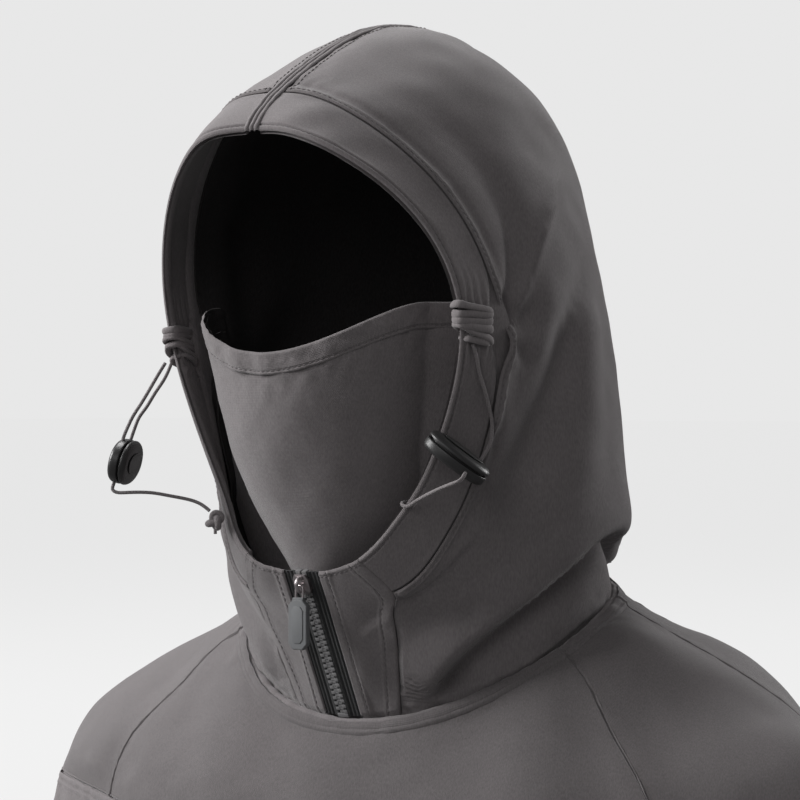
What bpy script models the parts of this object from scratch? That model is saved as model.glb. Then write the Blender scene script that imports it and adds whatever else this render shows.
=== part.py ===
"""A hooded balaclava with a built-in face mask, standing on its short shoulder yoke.

Lengths are in millimetres, measured from the front centre of the neck seam: +X to the wearer's left,
-Y forwards and +Z up. The empty called garment moves the whole part, so that the world's origin is in
the middle of the yoke's hem.
"""

import math

import bmesh
import bpy
import numpy as np
from mathutils import Matrix, Vector

MM = 0.001
GAP = 0.3  # clearance between pieces that touch

# Driving dimensions
HEM_DROP = 70.0  # from the front of the neck seam down to the hem
MIDDLE_Y = 59.8273  # the middle of the garment, front to back
FABRIC = 2.0
LINING = 1.0
LINING_DEPTH = 4.4  # from the hood's outer face to the lining's
BAND_THICKNESS = 4.0
STRIP_WIDTH = 9.0
BAND_END, PANEL_START = 0.98, 1.02  # places along a rib, either side of the brim band's seam
PINCH = 0.2  # how far both draw back at a cord wrap
PIPING_RADIUS = 2.3
CORD_DIAMETER = 1.8

# The neck seam, an oval that rises towards the nape
NECK_HALF_WIDTH = 110.0
NECK_DEPTH = 128.0
NECK_RISE = 70.0
NECK_SHOULDER_LIFT = 18.0

# The zip lies on a straight line from the neck seam up to the face opening
ZIP_TOP = Vector((0.0, -33.3, 76.5))
ZIP_LENGTH = ZIP_TOP.length
TEETH_HALF_WIDTH = 3.5
TAPE_EDGE = 13.0
TEETH_START = 5.0  # above the neck seam

# Lines over the wearer's left half of the hood, each from the face opening back to the neck seam. The
# first runs over the crown, the fourth round the cheek and the sixth under the jaw. The second point of
# each is on the seam of the brim band. The last point of each is on the neck seam.
RIBS = [
    [(0, -69, 291), (0, -50, 311), (0, 0, 341), (0, 50, 352), (0, 104, 329), (0, 138, 246), (0, 152, 150), (0, 145, 92)],
    [(40, -68, 284), (42, -45, 299), (55, 0, 317), (60, 45, 325), (60, 92, 299), (58, 122, 228), (57, 136, 140), (56, 130, 88)],
    [(81, -47, 252), (87, -25, 257), (98, 8, 261), (101, 40, 254), (98, 75, 232), (95, 98, 180), (95, 108, 124), (93, 104, 85)],
    [(97, -28, 196), (103, -6, 193), (107, 18, 187), (111, 38, 175), (112, 56, 150), (112, 68, 121), (112, 72, 95), (110, 72, 74)],
    [(76, -23, 135), (88, -4, 129), (95, 9, 115), (100, 20, 101), (103, 29, 86), (104, 35, 72), (103, 38, 59), (100, 36, 45)],
    [(59, -26, 108), (73, -10, 95), (77, -4, 85), (78, 2, 76), (77, 5, 66), (76, 8, 54), (75, 11, 41), (71, 13, 28)],
    [(37, -33, 84), (48, -20, 68), (45, -16, 59), (43, -12, 49), (41, -8, 40), (39, -5, 31), (37, -2, 22), (35, 1, 13)],
]
RIB_NECK_ANGLES = [180, 150, 122, 97, 60, 38, 17.5]  # where each rib meets the neck seam, 0 at the front
CROWN, CHEEK, JAW, PRINCESS, ZIP = 0, 3, 5, 6, 7  # ribs by number
EDGE, BAND_SEAM, NECK = 0, 1, 8  # points along a rib by number

# The yoke: lines from the neck seam down to the hem, by their angle round the neck
YOKE_RIBS = {
    0: [(0, -6, -17), (0, -11, -34), (0, -15, -51), (0, -18, -70)],
    35: [(75, 5, -2), (90, -2, -22), (101, -8, -44), (110, -10, -70)],
    70: [(125, 35, 24), (145, 27, 2), (172, 18, -27), (186, 16, -70)],
    88: [(140, 60, 37), (180, 55, 13), (234, 50, -16), (258, 46, -70)],
    105: [(140, 88, 43), (184, 92, 22), (233, 88, -14), (252, 84, -70)],
    140: [(98, 130, 49), (130, 150, 26), (156, 164, -16), (168, 168, -70)],
    180: [(0, 152, 54), (0, 172, 28), (0, 183, -14), (0, 186, -70)],
}
RAGLAN_FRONT, SHOULDER, RAGLAN_BACK = 2, 4, 5  # yoke ribs that carry a seam, by place in the list
HEM = 4
HEM_BAND_SHARE = 0.3  # of the last stretch of the yoke

# The mask's levels: height, front, half width, depth of the curved front, and where its side edge ends
MASK_LEVELS = [
    (40, -10, 28, 22, 45, 14),
    (60, -19, 29, 25, 56, 10),
    (77, -26, 33, 30, 66, 6),
    (97, -35, 45, 36, 76, 6),
    (114, -42, 51, 40, 84, 8),
    (136, -50, 56, 42, 89, 10),
    (161, -57, 62, 45, 92, 12),
    (190, -62, 67, 45, 95, 14),
    (212, -64, 69, 45, 96, 14),
]
MASK_TOP = 184.0
MASK_TOP_RISE = 24.0  # the top edge climbs this far towards the cheeks
MASK_HEM = 11.0

# Cord wraps: place round the opening, in ribs, for the wearer's left and right
WRAP_AT = {"left": 2.97, "right": 3.09}
WRAP_HALF_LENGTH = 0.13
WRAP_TURNS = 5

# Cord locks: centre of the cord plane, the way the pressed face looks, and the way up the cords
LOCKS = {
    "left": ((93.3, -28.6, 132.3), (0.545, 0.275, 0.792), (-0.573, 0.812, 0.111)),
    "right": ((-105.6, -52.2, 130.0), (0.842, 0.478, -0.234), (0.213, 0.100, 0.972)),
}
LOCK_LONG, LOCK_SHORT = 17.0, 11.5  # half lengths
LOCK_WALL = 1.6
LOCK_MOUTH_HALF_WIDTH, LOCK_MOUTH_FLOOR = 10.5, -1.4

# Cord routes: from the wrap through the lock and on to the knot, and from the wrap into the lock
CORDS = {
    "drawcord_left": [
        (99, -22, 187.4), (99, -19, 181), (98, -15.5, 173.5), (98, -11.5, 165.5), (97.5, -7.5, 157.5),
        (97, -5, 152), (96, -3.5, 146), (95, -3.5, 140.5), (93, -5.5, 135), (91.5, -9, 130.5),
        (93.5, -16, 128), (96, -20, 127.5), (98, -24.5, 127.5), (101, -29, 127.5), (103.5, -33, 127),
        (105, -35.5, 126.5), (105, -37.5, 124.5), (103, -38.5, 123), (98, -38, 121.5), (91, -36.5, 119.5),
        (84, -34, 117.5), (76, -31, 115), (69, -28.5, 112.5), (64.5, -27.5, 110.5),
        (61.5, -27.3, 110.3), (59.4, -26.5, 111), (57.8, -24.5, 111.6), (56.8, -22.2, 111.8), (57, -18.8, 111.4),
    ],
    "drawcord_right": [
        (-95.5, -31, 180), (-97, -35.5, 173), (-98.5, -40.5, 165), (-99.5, -45.5, 158), (-100, -49.5, 153),
        (-100.3, -53, 147.5), (-100.7, -55.7, 142), (-101.2, -57, 137), (-102.5, -57.3, 132),
        (-103.7, -57.2, 127), (-105, -57.2, 122), (-106, -57.7, 118), (-106.2, -58.2, 115.5),
        (-104, -57, 114), (-99, -54, 114), (-90, -48, 114), (-81.5, -42.5, 112.5),
        (-72.5, -37, 110.5), (-66.5, -34, 108), (-62.5, -32.5, 105),
    ],
    "drawcord_right_second_strand": [
        (-94.5, -27.5, 180), (-96.5, -30.5, 172), (-99.5, -34, 165), (-102.5, -37, 158),
        (-104.3, -40.3, 153), (-105.3, -42.3, 148.5), (-106.5, -44.3, 142), (-107.5, -45.4, 137.5),
    ],
}
KNOTS = {"left": (58.3, -14.1, 110.7), "right": (-59.0, -32.0, 100.0)}
KNOT_RADIUS = 4.0


# Smooth curves and surfaces


def slopes_along(points, closed):
    """The slope at each point of the smooth curve through points, which lie one apart along the first axis."""
    count = len(points)
    system = 4 * np.eye(count)
    change = 3 * (np.roll(points, -1, axis=0) - np.roll(points, 1, axis=0))
    for i in range(count if closed else count - 1):
        system[i, (i + 1) % count] = system[(i + 1) % count, i] = 1
    if not closed:
        system[0, 0] = system[-1, -1] = 2
        change[0], change[-1] = 3 * (points[1] - points[0]), 3 * (points[-1] - points[-2])
    return np.linalg.solve(system, change.reshape(count, -1)).reshape(points.shape)


def spline(points, at, closed=False, paired=False):
    """Values of the smooth curve through points at the given places, or of one curve for each place."""
    points, at = np.asarray(points, float), np.asarray(at, float)
    slopes, count = slopes_along(points, closed), len(points)
    at = at % count if closed else at
    start = np.floor(at).astype(int) if closed else np.clip(np.floor(at).astype(int), 0, count - 2)
    end = (start + 1) % count
    part = at - start
    if paired:
        pick = np.ix_(*(range(size) for size in at.shape))
        near_point, far_point = points[(start, *pick)], points[(end, *pick)]
        near_slope, far_slope = slopes[(start, *pick)], slopes[(end, *pick)]
    else:
        near_point, far_point, near_slope, far_slope = points[start], points[end], slopes[start], slopes[end]
    part = part.reshape(at.shape + (1,) * (near_point.ndim - at.ndim))
    return (
        (1 + 2 * part) * (1 - part) ** 2 * near_point + (3 - 2 * part) * part**2 * far_point
        + part * (1 - part) ** 2 * near_slope - (1 - part) * part**2 * far_slope
    )


def neck_seam(degrees):
    """The neck seam at an angle round the neck: 0 at the front, 90 at the wearer's left."""
    angle = np.radians(degrees)
    back = (1 - np.cos(angle)) / 2
    side = NECK_HALF_WIDTH * np.sin(angle)
    rise = NECK_RISE * back + NECK_SHOULDER_LIFT * np.sin(angle) ** 2
    return np.stack([side, NECK_DEPTH * back, rise], -1)


def hood_net():
    """All ribs round the hood, in order: crown, wearer's left, zip, wearer's right."""
    left = [list(rib) + [tuple(neck_seam(angle))] for rib, angle in zip(RIBS, RIB_NECK_ANGLES)]
    zip_rib = [tuple(ZIP_TOP * (1 - k / NECK)) for k in range(NECK + 1)]
    right = [[(-x, y, z) for x, y, z in rib] for rib in reversed(left[1:])]
    return np.array(left + [zip_rib] + right, float)


HOOD_NET = hood_net()
YOKE_NET = np.array(
    [[tuple(neck_seam(angle))] + rib for angle, rib in YOKE_RIBS.items()]
    + [[tuple(neck_seam(-angle))] + [(-x, y, z) for x, y, z in YOKE_RIBS[angle]]
       for angle in sorted(YOKE_RIBS, reverse=True)[1:-1]],
    float,
)


def net_point(net, across, along):
    """Points of a closed ring of ribs: across counts ribs and along counts points of a rib."""
    across, along = np.broadcast_arrays(np.asarray(across, float), np.asarray(along, float))
    rings = spline(net.transpose(1, 0, 2), along)
    return spline(np.moveaxis(rings, -2, 0), across, closed=True, paired=True)


def net_normal(net, across, along):
    step = 0.01
    across, along = np.broadcast_arrays(np.asarray(across, float), np.asarray(along, float))
    side = net_point(net, across + step, along) - net_point(net, across - step, along)
    down = net_point(net, across, along + step) - net_point(net, across, along - step)
    normal = np.cross(side, down)
    return normal / np.linalg.norm(normal, axis=-1, keepdims=True)


def line_at_x(x, low, high):
    """The place across the hood, between ribs low and high, where it is x from the middle, by place along."""
    along = np.linspace(0, NECK, 65)
    low, high = np.full(len(along), float(low)), np.full(len(along), float(high))
    rising = net_point(HOOD_NET, high, along)[:, 0] > net_point(HOOD_NET, low, along)[:, 0]
    for _ in range(24):
        middle = (low + high) / 2
        before = (net_point(HOOD_NET, middle, along)[:, 0] < x) == rising
        low, high = np.where(before, middle, low), np.where(before, high, middle)
    return lambda place: np.interp(place, along, (low + high) / 2)


# Meshes


def material(name, colour, roughness, metallic=0.0):
    made = bpy.data.materials.new(name)
    made.use_nodes = True
    shader = made.node_tree.nodes["Principled BSDF"]
    shader.inputs["Base Color"].default_value = (*colour, 1.0)
    shader.inputs["Roughness"].default_value = roughness
    shader.inputs["Metallic"].default_value = metallic
    return made


def add_object(name, mesh, finish, parent, smooth=40.0):
    mesh.materials.append(finish)
    mesh.shade_smooth()
    mesh.set_sharp_from_angle(angle=math.radians(smooth))
    piece = bpy.data.objects.new(name, mesh)
    bpy.context.scene.collection.objects.link(piece)
    piece.parent = parent
    return piece


def mesh_of(name, points, faces):
    """A closed mesh in metres, from points in millimetres, with its faces turned outwards."""
    mesh = bpy.data.meshes.new(name)
    mesh.from_pydata([tuple(MM * float(value) for value in point) for point in points], [], faces)
    shape = bmesh.new()
    shape.from_mesh(mesh)
    bmesh.ops.recalc_face_normals(shape, faces=shape.faces)
    shape.to_mesh(mesh)
    shape.free()
    return mesh


def slab(outer, inner, ring=False):
    """Points and faces of the closed sheet between two grids. A ring joins its first and last rows."""
    rows, columns = outer.shape[:2]
    points = np.concatenate([outer.reshape(-1, 3), inner.reshape(-1, 3)])
    size = rows * columns
    faces = []

    def wall(a, b, c, d):
        faces.append((a, b, c, d))
        faces.append((d + size, c + size, b + size, a + size))

    def rim(a, b):
        faces.append((a, b, b + size, a + size))

    for row in range(rows if ring else rows - 1):
        after = (row + 1) % rows
        for column in range(columns - 1):
            wall(row * columns + column, row * columns + column + 1,
                 after * columns + column + 1, after * columns + column)
        rim(row * columns, after * columns)
        rim(after * columns + columns - 1, row * columns + columns - 1)
    if not ring:
        for column in range(columns - 1):
            rim(column + 1, column)
            rim((rows - 1) * columns + column, (rows - 1) * columns + column + 1)
    return points, faces


def panel(name, net, finish, parent, across, along, outer, thickness, mirror=False, ring=False):
    """A sheet cut from a net: across and along are grids of places, thickness is measured inwards."""
    surface, normal = net_point(net, across, along), net_normal(net, across, along)
    front = surface + normal * outer
    back = front - normal * np.broadcast_to(thickness, across.shape)[..., None]
    if mirror:
        front, back = front * (-1, 1, 1), back * (-1, 1, 1)
    points, faces = slab(front, back, ring)
    return add_object(name, mesh_of(name, points, faces), finish, parent)


def grid(across_at, along_at, rows, columns):
    """Grids of places: across_at(share, along) and along_at(share, across) both take shares from 0 to 1."""
    across, along = np.zeros((rows, columns)), np.zeros((rows, columns))
    for i, down in enumerate(np.linspace(0, 1, rows)):
        for j, share in enumerate(np.linspace(0, 1, columns)):
            rough = across_at(down, along_at(share, 0.5 * (across_at(down, 1) + across_at(down, 4))))
            along[i, j] = along_at(share, rough)
            across[i, j] = across_at(down, along[i, j])
    return across, along


def box_mesh(name, low, high):
    corners = [(x, y, z) for x in (low[0], high[0]) for y in (low[1], high[1]) for z in (low[2], high[2])]
    faces = [(0, 1, 3, 2), (4, 6, 7, 5), (0, 4, 5, 1), (2, 3, 7, 6), (0, 2, 6, 4), (1, 5, 7, 3)]
    return mesh_of(name, corners, faces)


def prism_mesh(name, outline, low, high):
    """The outline, in the first two axes, as a solid from low to high along the third."""
    count = len(outline)
    points = [(x, y, low) for x, y in outline] + [(x, y, high) for x, y in outline]
    sides = [(i, (i + 1) % count, (i + 1) % count + count, i + count) for i in range(count)]
    return mesh_of(name, points, sides + [tuple(range(count)), tuple(range(count, 2 * count))])


def tube(name, route, diameter, finish, parent, step, sides=2):
    """A round cord along a smooth curve through the route."""
    fine = spline(route, np.linspace(0, len(route) - 1, 40 * len(route)))
    along = np.concatenate([[0], np.cumsum(np.linalg.norm(np.diff(fine, axis=0), axis=1))])
    stops = np.linspace(0, along[-1], max(2, round(along[-1] / step)) + 1)
    places = np.stack([np.interp(stops, along, fine[:, axis]) for axis in range(3)], -1)
    curve = bpy.data.curves.new(name, "CURVE")
    curve.dimensions = "3D"
    curve.bevel_depth = MM * diameter / 2
    curve.bevel_resolution = sides
    curve.use_fill_caps = True
    line = curve.splines.new("POLY")
    line.points.add(len(places) - 1)
    for point, place in zip(line.points, places):
        point.co = (*(MM * place), 1.0)
    curve.materials.append(finish)
    piece = bpy.data.objects.new(name, curve)
    bpy.context.scene.collection.objects.link(piece)
    piece.parent = parent
    return piece


def boolean(piece, other, operation):
    """Cuts other from piece, or joins it on, and keeps other out of the model."""
    other.hide_render = True
    other.display_type = "WIRE"
    modifier = piece.modifiers.new(other.name, "BOOLEAN")
    modifier.operation = operation
    modifier.object = other
    modifier.solver = "EXACT"


def empty(name, parent, matrix=None):
    made = bpy.data.objects.new(name, None)
    bpy.context.scene.collection.objects.link(made)
    made.parent = parent
    if matrix is not None:
        made.matrix_local = matrix
    return made


def frame_of(origin, x_axis, y_axis, z_axis):
    """A matrix that stands at origin, in millimetres, along three given axes."""
    matrix = Matrix((x_axis, y_axis, z_axis)).transposed().to_4x4()
    matrix.translation = Vector(origin) * MM
    return matrix


# The hood


def place_off_seam(net, across, seam_place, far_place):
    """How far along a rib a panel has to end to stay clear of the neck piping."""
    along = np.linspace(seam_place, far_place, 40)
    seam = neck_seam(np.linspace(0, 360, 361))
    apart = net_point(net, np.full(len(along), across), along)[:, None] - seam
    nearest = np.linalg.norm(apart, axis=-1).min(axis=1)
    return float(np.interp(PIPING_RADIUS + GAP + 0.8, nearest, along))


def neck_end(across):
    return place_off_seam(HOOD_NET, across, NECK, NECK - 1)


def notch(across, side):
    """1 at the cord wrap and 0 away from it: the band is gathered there."""
    return math.exp(-(((across - WRAP_AT[side]) / 0.2) ** 2))


def hood_panels(body, fabric, lining_cloth):
    strip_line = line_at_x(STRIP_WIDTH / 2 + GAP, 0, 1)
    middle_line = line_at_x(GAP, 0, 1)
    tape_line = line_at_x(TAPE_EDGE + GAP, PRINCESS, ZIP)
    for side, mirror in (("left", False), ("right", True)):
        def band_end(across, side=side):
            return BAND_END - PINCH * notch(across, side)

        def panel_start(across, side=side):
            return PANEL_START + PINCH * notch(across, side)

        def from_strip(share, along):
            top = strip_line(along)
            return top + share * (PRINCESS - 0.01 - top)

        def from_middle(share, along):
            top = middle_line(along)
            return top + share * (PRINCESS - 0.02 - top)

        across, along = grid(from_strip, lambda k, s: panel_start(s) + k * (neck_end(s) - panel_start(s)), 19, 13)
        panel(f"hood_side_{side}", HOOD_NET, fabric, body, across, along, 0, FABRIC, mirror)
        across, along = grid(
            from_middle, lambda k, s: 0.06 + panel_start(s) + k * (neck_end(s) - panel_start(s) - 0.06), 13, 10)
        panel(f"hood_lining_{side}", HOOD_NET, lining_cloth, body, across, along, -LINING_DEPTH, LINING, mirror)
        across, along = grid(from_strip, lambda k, s: k * band_end(s), 37, 4)
        panel(f"brim_band_{side}", HOOD_NET, fabric, body, across, along, 0, BAND_THICKNESS, mirror)

        def placket(share, along):
            return PRINCESS + 0.01 + share * (tape_line(along) - PRINCESS - 0.01)

        across, along = grid(placket, lambda k, s: k * neck_end(s), 4, 8)
        panel(f"collar_front_{side}", HOOD_NET, fabric, body, across, along, 0, 2.6, mirror)

    along = np.broadcast_to(np.linspace(0, neck_end(0.0), 24), (3, 24))
    edges = line_at_x(STRIP_WIDTH / 2, 0, 1)(along[0])
    panel("crown_strip", HOOD_NET, fabric, body, np.stack([-edges, 0 * edges, edges]), along, 0.8, 2.8)


def cord_wrap(name, side, body, cord_cloth, mirror):
    """The turns of cord that gather the brim band: one ridged sleeve round the band."""
    middle, turn_points, sides = WRAP_AT[side], 3, 14
    stations = np.linspace(-1, 1, WRAP_TURNS * turn_points + 1)
    outer, inner = [], []
    for station in stations:
        across = middle + WRAP_HALF_LENGTH * station
        end = BAND_END - PINCH * notch(across, side)
        edge, far = net_point(HOOD_NET, across, 0.0), net_point(HOOD_NET, across, end)
        normal = net_normal(HOOD_NET, across, end / 2)
        width_axis = far - edge
        half_width = np.linalg.norm(width_axis) / 2
        width_axis = width_axis / (2 * half_width)
        centre = (edge + far) / 2 - normal * (BAND_THICKNESS / 2 - 0.6)
        ridge = 1.2 + 0.6 * abs(math.sin(math.pi * WRAP_TURNS * (station + 1) / 2))
        rings = ([], [])
        for angle in np.linspace(0, 2 * math.pi, sides, endpoint=False):
            wide, high = math.cos(angle), math.sin(angle)
            wide = math.copysign(abs(wide) ** 0.4, wide)
            high = math.copysign(abs(high) ** 0.4, high)
            for ring, more in zip(rings, (ridge, 0.0)):
                ring.append(centre + width_axis * wide * (half_width + 1.3 + more)
                            + normal * high * (BAND_THICKNESS / 2 + 1.6 + more))
        outer.append(rings[0])
        inner.append(rings[1])
    outer, inner = (np.array(value).transpose(1, 0, 2) for value in (outer, inner))
    if mirror:
        outer, inner = outer * (-1, 1, 1), inner * (-1, 1, 1)
    points, faces = slab(outer, inner, ring=True)
    add_object(name, mesh_of(name, points, faces), cord_cloth, body)


# The face mask


def mask_point(share, height_share, level_top):
    """The mask's outer face: share runs from -1 at the wearer's right edge to 1 at the left."""
    curved = 0.8  # the curved front takes this share, and the rest runs back to the cheeks
    angle = min(abs(share) / curved, 1.0) * math.pi / 2
    flare = max(abs(share) - curved, 0.0) / (1 - curved)
    top = level_top + MASK_TOP_RISE * math.sin(angle) ** 2
    height = MASK_LEVELS[0][0] + height_share * (top - MASK_LEVELS[0][0])
    heights = [level[0] for level in MASK_LEVELS]
    place = np.interp(height, heights, range(len(heights)))
    _, front, width, depth, side_x, side_y = spline(MASK_LEVELS, place)
    x, y = width * math.sin(angle), front + depth * (1 - math.cos(angle))
    x, y = x + flare * (side_x - x), y + flare * (side_y - y)
    return (math.copysign(x, share) if share else 0.0, y, height)


def mask_panel(name, body, finish, low, high, rows, outer, thickness, columns=25):
    grid_points = np.array([
        [mask_point(share, low + (high - low) * k, MASK_TOP) for k in np.linspace(0, 1, rows)]
        for share in np.linspace(-1, 1, columns)
    ])
    side, up = np.gradient(grid_points, axis=0), np.gradient(grid_points, axis=1)
    normal = np.cross(side, up)
    normal /= np.linalg.norm(normal, axis=-1, keepdims=True)
    front = grid_points + normal * outer
    points, faces = slab(front, front - normal * thickness)
    add_object(name, mesh_of(name, points, faces), finish, body)


# The zip, drawn in its own frame: x across, y into the fabric and z up the chain


def upright(mesh):
    """Turns a prism so that its outline stands in x and z, and its thickness runs along y."""
    mesh.transform(Matrix(((1, 0, 0, 0), (0, 0, 1, 0), (0, 1, 0, 0), (0, 0, 0, 1))))
    mesh.flip_normals()
    return mesh


def zip_teeth(side, body, plastic):
    count, tooth, deep = 25, 1.25, 1.6
    pitch = (ZIP_LENGTH - TEETH_START - 4.0) / count
    sign, shift = (1, 0.0) if side == "left" else (-1, pitch / 2)
    start = TEETH_START
    outline = [(sign * TEETH_HALF_WIDTH, start), (sign * TEETH_HALF_WIDTH, ZIP_LENGTH - 3.0)]
    outline.append((sign * 2.0, ZIP_LENGTH - 3.0))
    for index in reversed(range(count)):
        middle = start + pitch * (index + 0.3) + shift
        for x, z in ((2.0, tooth / 2), (-deep, tooth / 2 - 0.1), (-deep, 0.1 - tooth / 2), (2.0, -tooth / 2)):
            outline.append((sign * x, middle + z))
    outline.append((sign * 2.0, start))
    mesh = upright(prism_mesh(f"zip_teeth_{side}", outline, 0.2, 2.8))
    add_object(f"zip_teeth_{side}", mesh, plastic, body, smooth=20)


def zip_parts(chain, slider, pull, tape_cloth, teeth_plastic, metal, tab_rubber):
    for side, sign in (("left", 1), ("right", -1)):
        low, high = sorted((sign * (TEETH_HALF_WIDTH + 0.4), sign * TAPE_EDGE))
        tape = box_mesh(f"zip_tape_{side}", (low, 1.0, 3.6), (high, 2.0, ZIP_LENGTH))
        add_object(f"zip_tape_{side}", tape, tape_cloth, chain, smooth=20)
        zip_teeth(side, chain, teeth_plastic)
        low, high = sorted((sign * 0.5, sign * TEETH_HALF_WIDTH))
        stop = box_mesh(f"zip_top_stop_{side}", (low, 0.3, ZIP_LENGTH - 1.8), (high, 2.9, ZIP_LENGTH + 0.4))
        add_object(f"zip_top_stop_{side}", stop, metal, chain, smooth=20)
    stop = box_mesh("zip_bottom_stop", (-TEETH_HALF_WIDTH, 0.0, 3.0), (TEETH_HALF_WIDTH, 3.0, TEETH_START - GAP))
    add_object("zip_bottom_stop", stop, metal, chain, smooth=20)

    outline = [(-3.4, 72), (3.4, 72), (4.9, 74.5), (4.9, 80), (3.6, 82.6), (-3.6, 82.6), (-4.9, 80), (-4.9, 74.5)]
    plates = {}
    for name, low, high in (("zip_slider_front", -1.6, -0.2), ("zip_slider_back", 3.3, 4.6)):
        plates[name] = add_object(name, upright(prism_mesh(name, outline, low, high)), metal, slider, smooth=20)
    for name, sign in (("slider_flange_left", 1), ("slider_flange_right", -1)):
        low, high = sorted((sign * 3.95, sign * 4.85))
        flange = add_object(name, box_mesh(name, (low, -0.9, 74.6), (high, 0.6, 79.9)), metal, slider)
        boolean(plates["zip_slider_front"], flange, "UNION")
    arch_profile = [(-1.0, 73.5), (-4.6, 74.6), (-5.6, 76.0), (-5.6, 79.0), (-4.6, 80.6), (-1.0, 81.4)]
    arch = prism_mesh("slider_arch", arch_profile, -0.9, 0.9)
    arch.transform(Matrix(((0, 0, 1, 0), (1, 0, 0, 0), (0, 1, 0, 0), (0, 0, 0, 1))))
    arch = add_object("slider_arch", arch, metal, slider, smooth=20)
    boolean(plates["zip_slider_front"], arch, "UNION")
    hole = add_object("slider_arch_hole", box_mesh("slider_arch_hole", (-3, -4.4, 75.6), (3, -1.9, 79.4)), metal, slider)
    boolean(plates["zip_slider_front"], hole, "DIFFERENCE")

    leg = 6.2
    link_route = [(-2.3, 0, -leg), (-2.3, 0, -3), (-2.1, 0, -0.8), (-1.2, 0, 0), (1.2, 0, 0), (2.1, 0, -0.8),
                  (2.3, 0, -3), (2.3, 0, -leg)]
    tube("zip_pull_link", link_route, 1.2, metal, pull, step=1.6)
    half, chamfer, length = 5.2, 3.0, 24.5
    top = -leg - GAP - 0.2
    outline = [(-half + chamfer, top), (half - chamfer, top), (half, top - chamfer), (half, top - length + chamfer),
               (half - chamfer, top - length), (-half + chamfer, top - length), (-half, top - length + chamfer),
               (-half, top - chamfer)]
    tab = upright(prism_mesh("zip_pull_tab", outline, -1.1, 1.1))
    add_object("zip_pull_tab", tab, tab_rubber, pull, smooth=20)


# The cord locks, drawn in their own frame: x along the oval, y up the cords and z to the pressed face


def oval_mesh(name, rings, sides=28):
    """A closed body from rings of an oval, each given by how far in and how high it is."""
    points, faces = [], []
    for inset, height in rings:
        for angle in np.linspace(0, 2 * math.pi, sides, endpoint=False):
            x, y = math.cos(angle), math.sin(angle)
            x, y = (math.copysign(abs(value) ** 0.85, value) for value in (x, y))
            points.append(((LOCK_LONG - inset) * x, (LOCK_SHORT - inset) * y, height))
    for ring in range(len(rings) - 1):
        for i in range(sides):
            j = (i + 1) % sides
            faces.append((ring * sides + i, ring * sides + j, (ring + 1) * sides + j, (ring + 1) * sides + i))
    faces.append(tuple(range(sides)))
    faces.append(tuple(range((len(rings) - 1) * sides, len(rings) * sides)))
    return mesh_of(name, points, faces)


def cord_lock(side, base_parent, button_parent, plastic, steel):
    floor, rim, travel_gap = -1.6, 2.6, 1.0
    inner = LOCK_WALL
    base_rings = [(4.0, -2.8), (1.4, -2.3), (0.2, -1.1), (0, 0), (0, rim), (inner, rim), (inner, floor + 0.6),
                  (inner + 0.6, floor)]
    base = add_object(f"{side}_lock_base", oval_mesh(f"{side}_lock_base", base_rings), plastic, base_parent)
    mouth = box_mesh(f"{side}_lock_mouth", (-LOCK_MOUTH_HALF_WIDTH, -LOCK_SHORT - 2, LOCK_MOUTH_FLOOR),
                     (LOCK_MOUTH_HALF_WIDTH, LOCK_SHORT + 2, rim + 2))
    mouth = add_object(f"{side}_lock_mouth", mouth, plastic, base_parent)
    boolean(base, mouth, "DIFFERENCE")
    under = rim + travel_gap
    button_rings = [(inner + 0.6, 2.2), (inner + 0.5, under), (0, under), (0, under + 1.2), (0.5, under + 2.0),
                    (2.2, under + 3.0), (5.5, under + 3.4)]
    button = add_object(f"{side}_lock_button", oval_mesh(f"{side}_lock_button", button_rings), plastic,
                        button_parent)
    pocket = box_mesh(f"{side}_spring_pocket", (-2.6, -2.6, 1.0), (2.6, 2.6, 5.2))
    pocket = add_object(f"{side}_spring_pocket", pocket, plastic, button_parent)
    boolean(button, pocket, "DIFFERENCE")
    turns, low, high, radius = 3, floor + 0.6, 3.9, 1.8
    coil = [(radius * math.cos(angle), radius * math.sin(angle), low + (high - low) * angle / (2 * math.pi * turns))
            for angle in np.linspace(0, 2 * math.pi * turns, turns * 8 + 1)]
    tube(f"{side}_lock_spring", coil, 0.5, steel, base_parent, step=1.4, sides=0)


# The yoke


def yoke_panels(body, fabric):
    seam = 0.012
    hem_start = HEM - HEM_BAND_SHARE
    pieces = [
        ("yoke_front", -RAGLAN_FRONT, RAGLAN_FRONT, 13, False),
        ("yoke_back", RAGLAN_BACK, 2 * 6 - RAGLAN_BACK, 9, False),
        ("sleeve_front_left", RAGLAN_FRONT, SHOULDER, 7, False),
        ("sleeve_front_right", RAGLAN_FRONT, SHOULDER, 7, True),
        ("sleeve_back_left", SHOULDER, RAGLAN_BACK, 5, False),
        ("sleeve_back_right", SHOULDER, RAGLAN_BACK, 5, True),
    ]
    for name, low, high, rows, mirror in pieces:
        places = np.linspace(low + seam, high - seam, rows)
        across = np.broadcast_to(places[:, None], (rows, 6))
        along = np.array([np.linspace(place_off_seam(YOKE_NET, place, 0, 1), hem_start - 0.02, 6) for place in places])
        panel(name, YOKE_NET, fabric, body, across, along, 0, FABRIC, mirror)
    ring = np.linspace(0, 2 * 6, 48, endpoint=False)
    across = np.broadcast_to(ring[:, None], (48, 2))
    along = np.broadcast_to(np.array([hem_start, HEM]), (48, 2))
    hem = panel("hem_band", YOKE_NET, fabric, body, across, along, 0.5, 4.0, ring=True)
    bottom = -HEM_DROP * MM
    for vertex in hem.data.vertices:
        if abs(vertex.co.z - bottom) < 3 * MM:
            vertex.co.z = bottom


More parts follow.
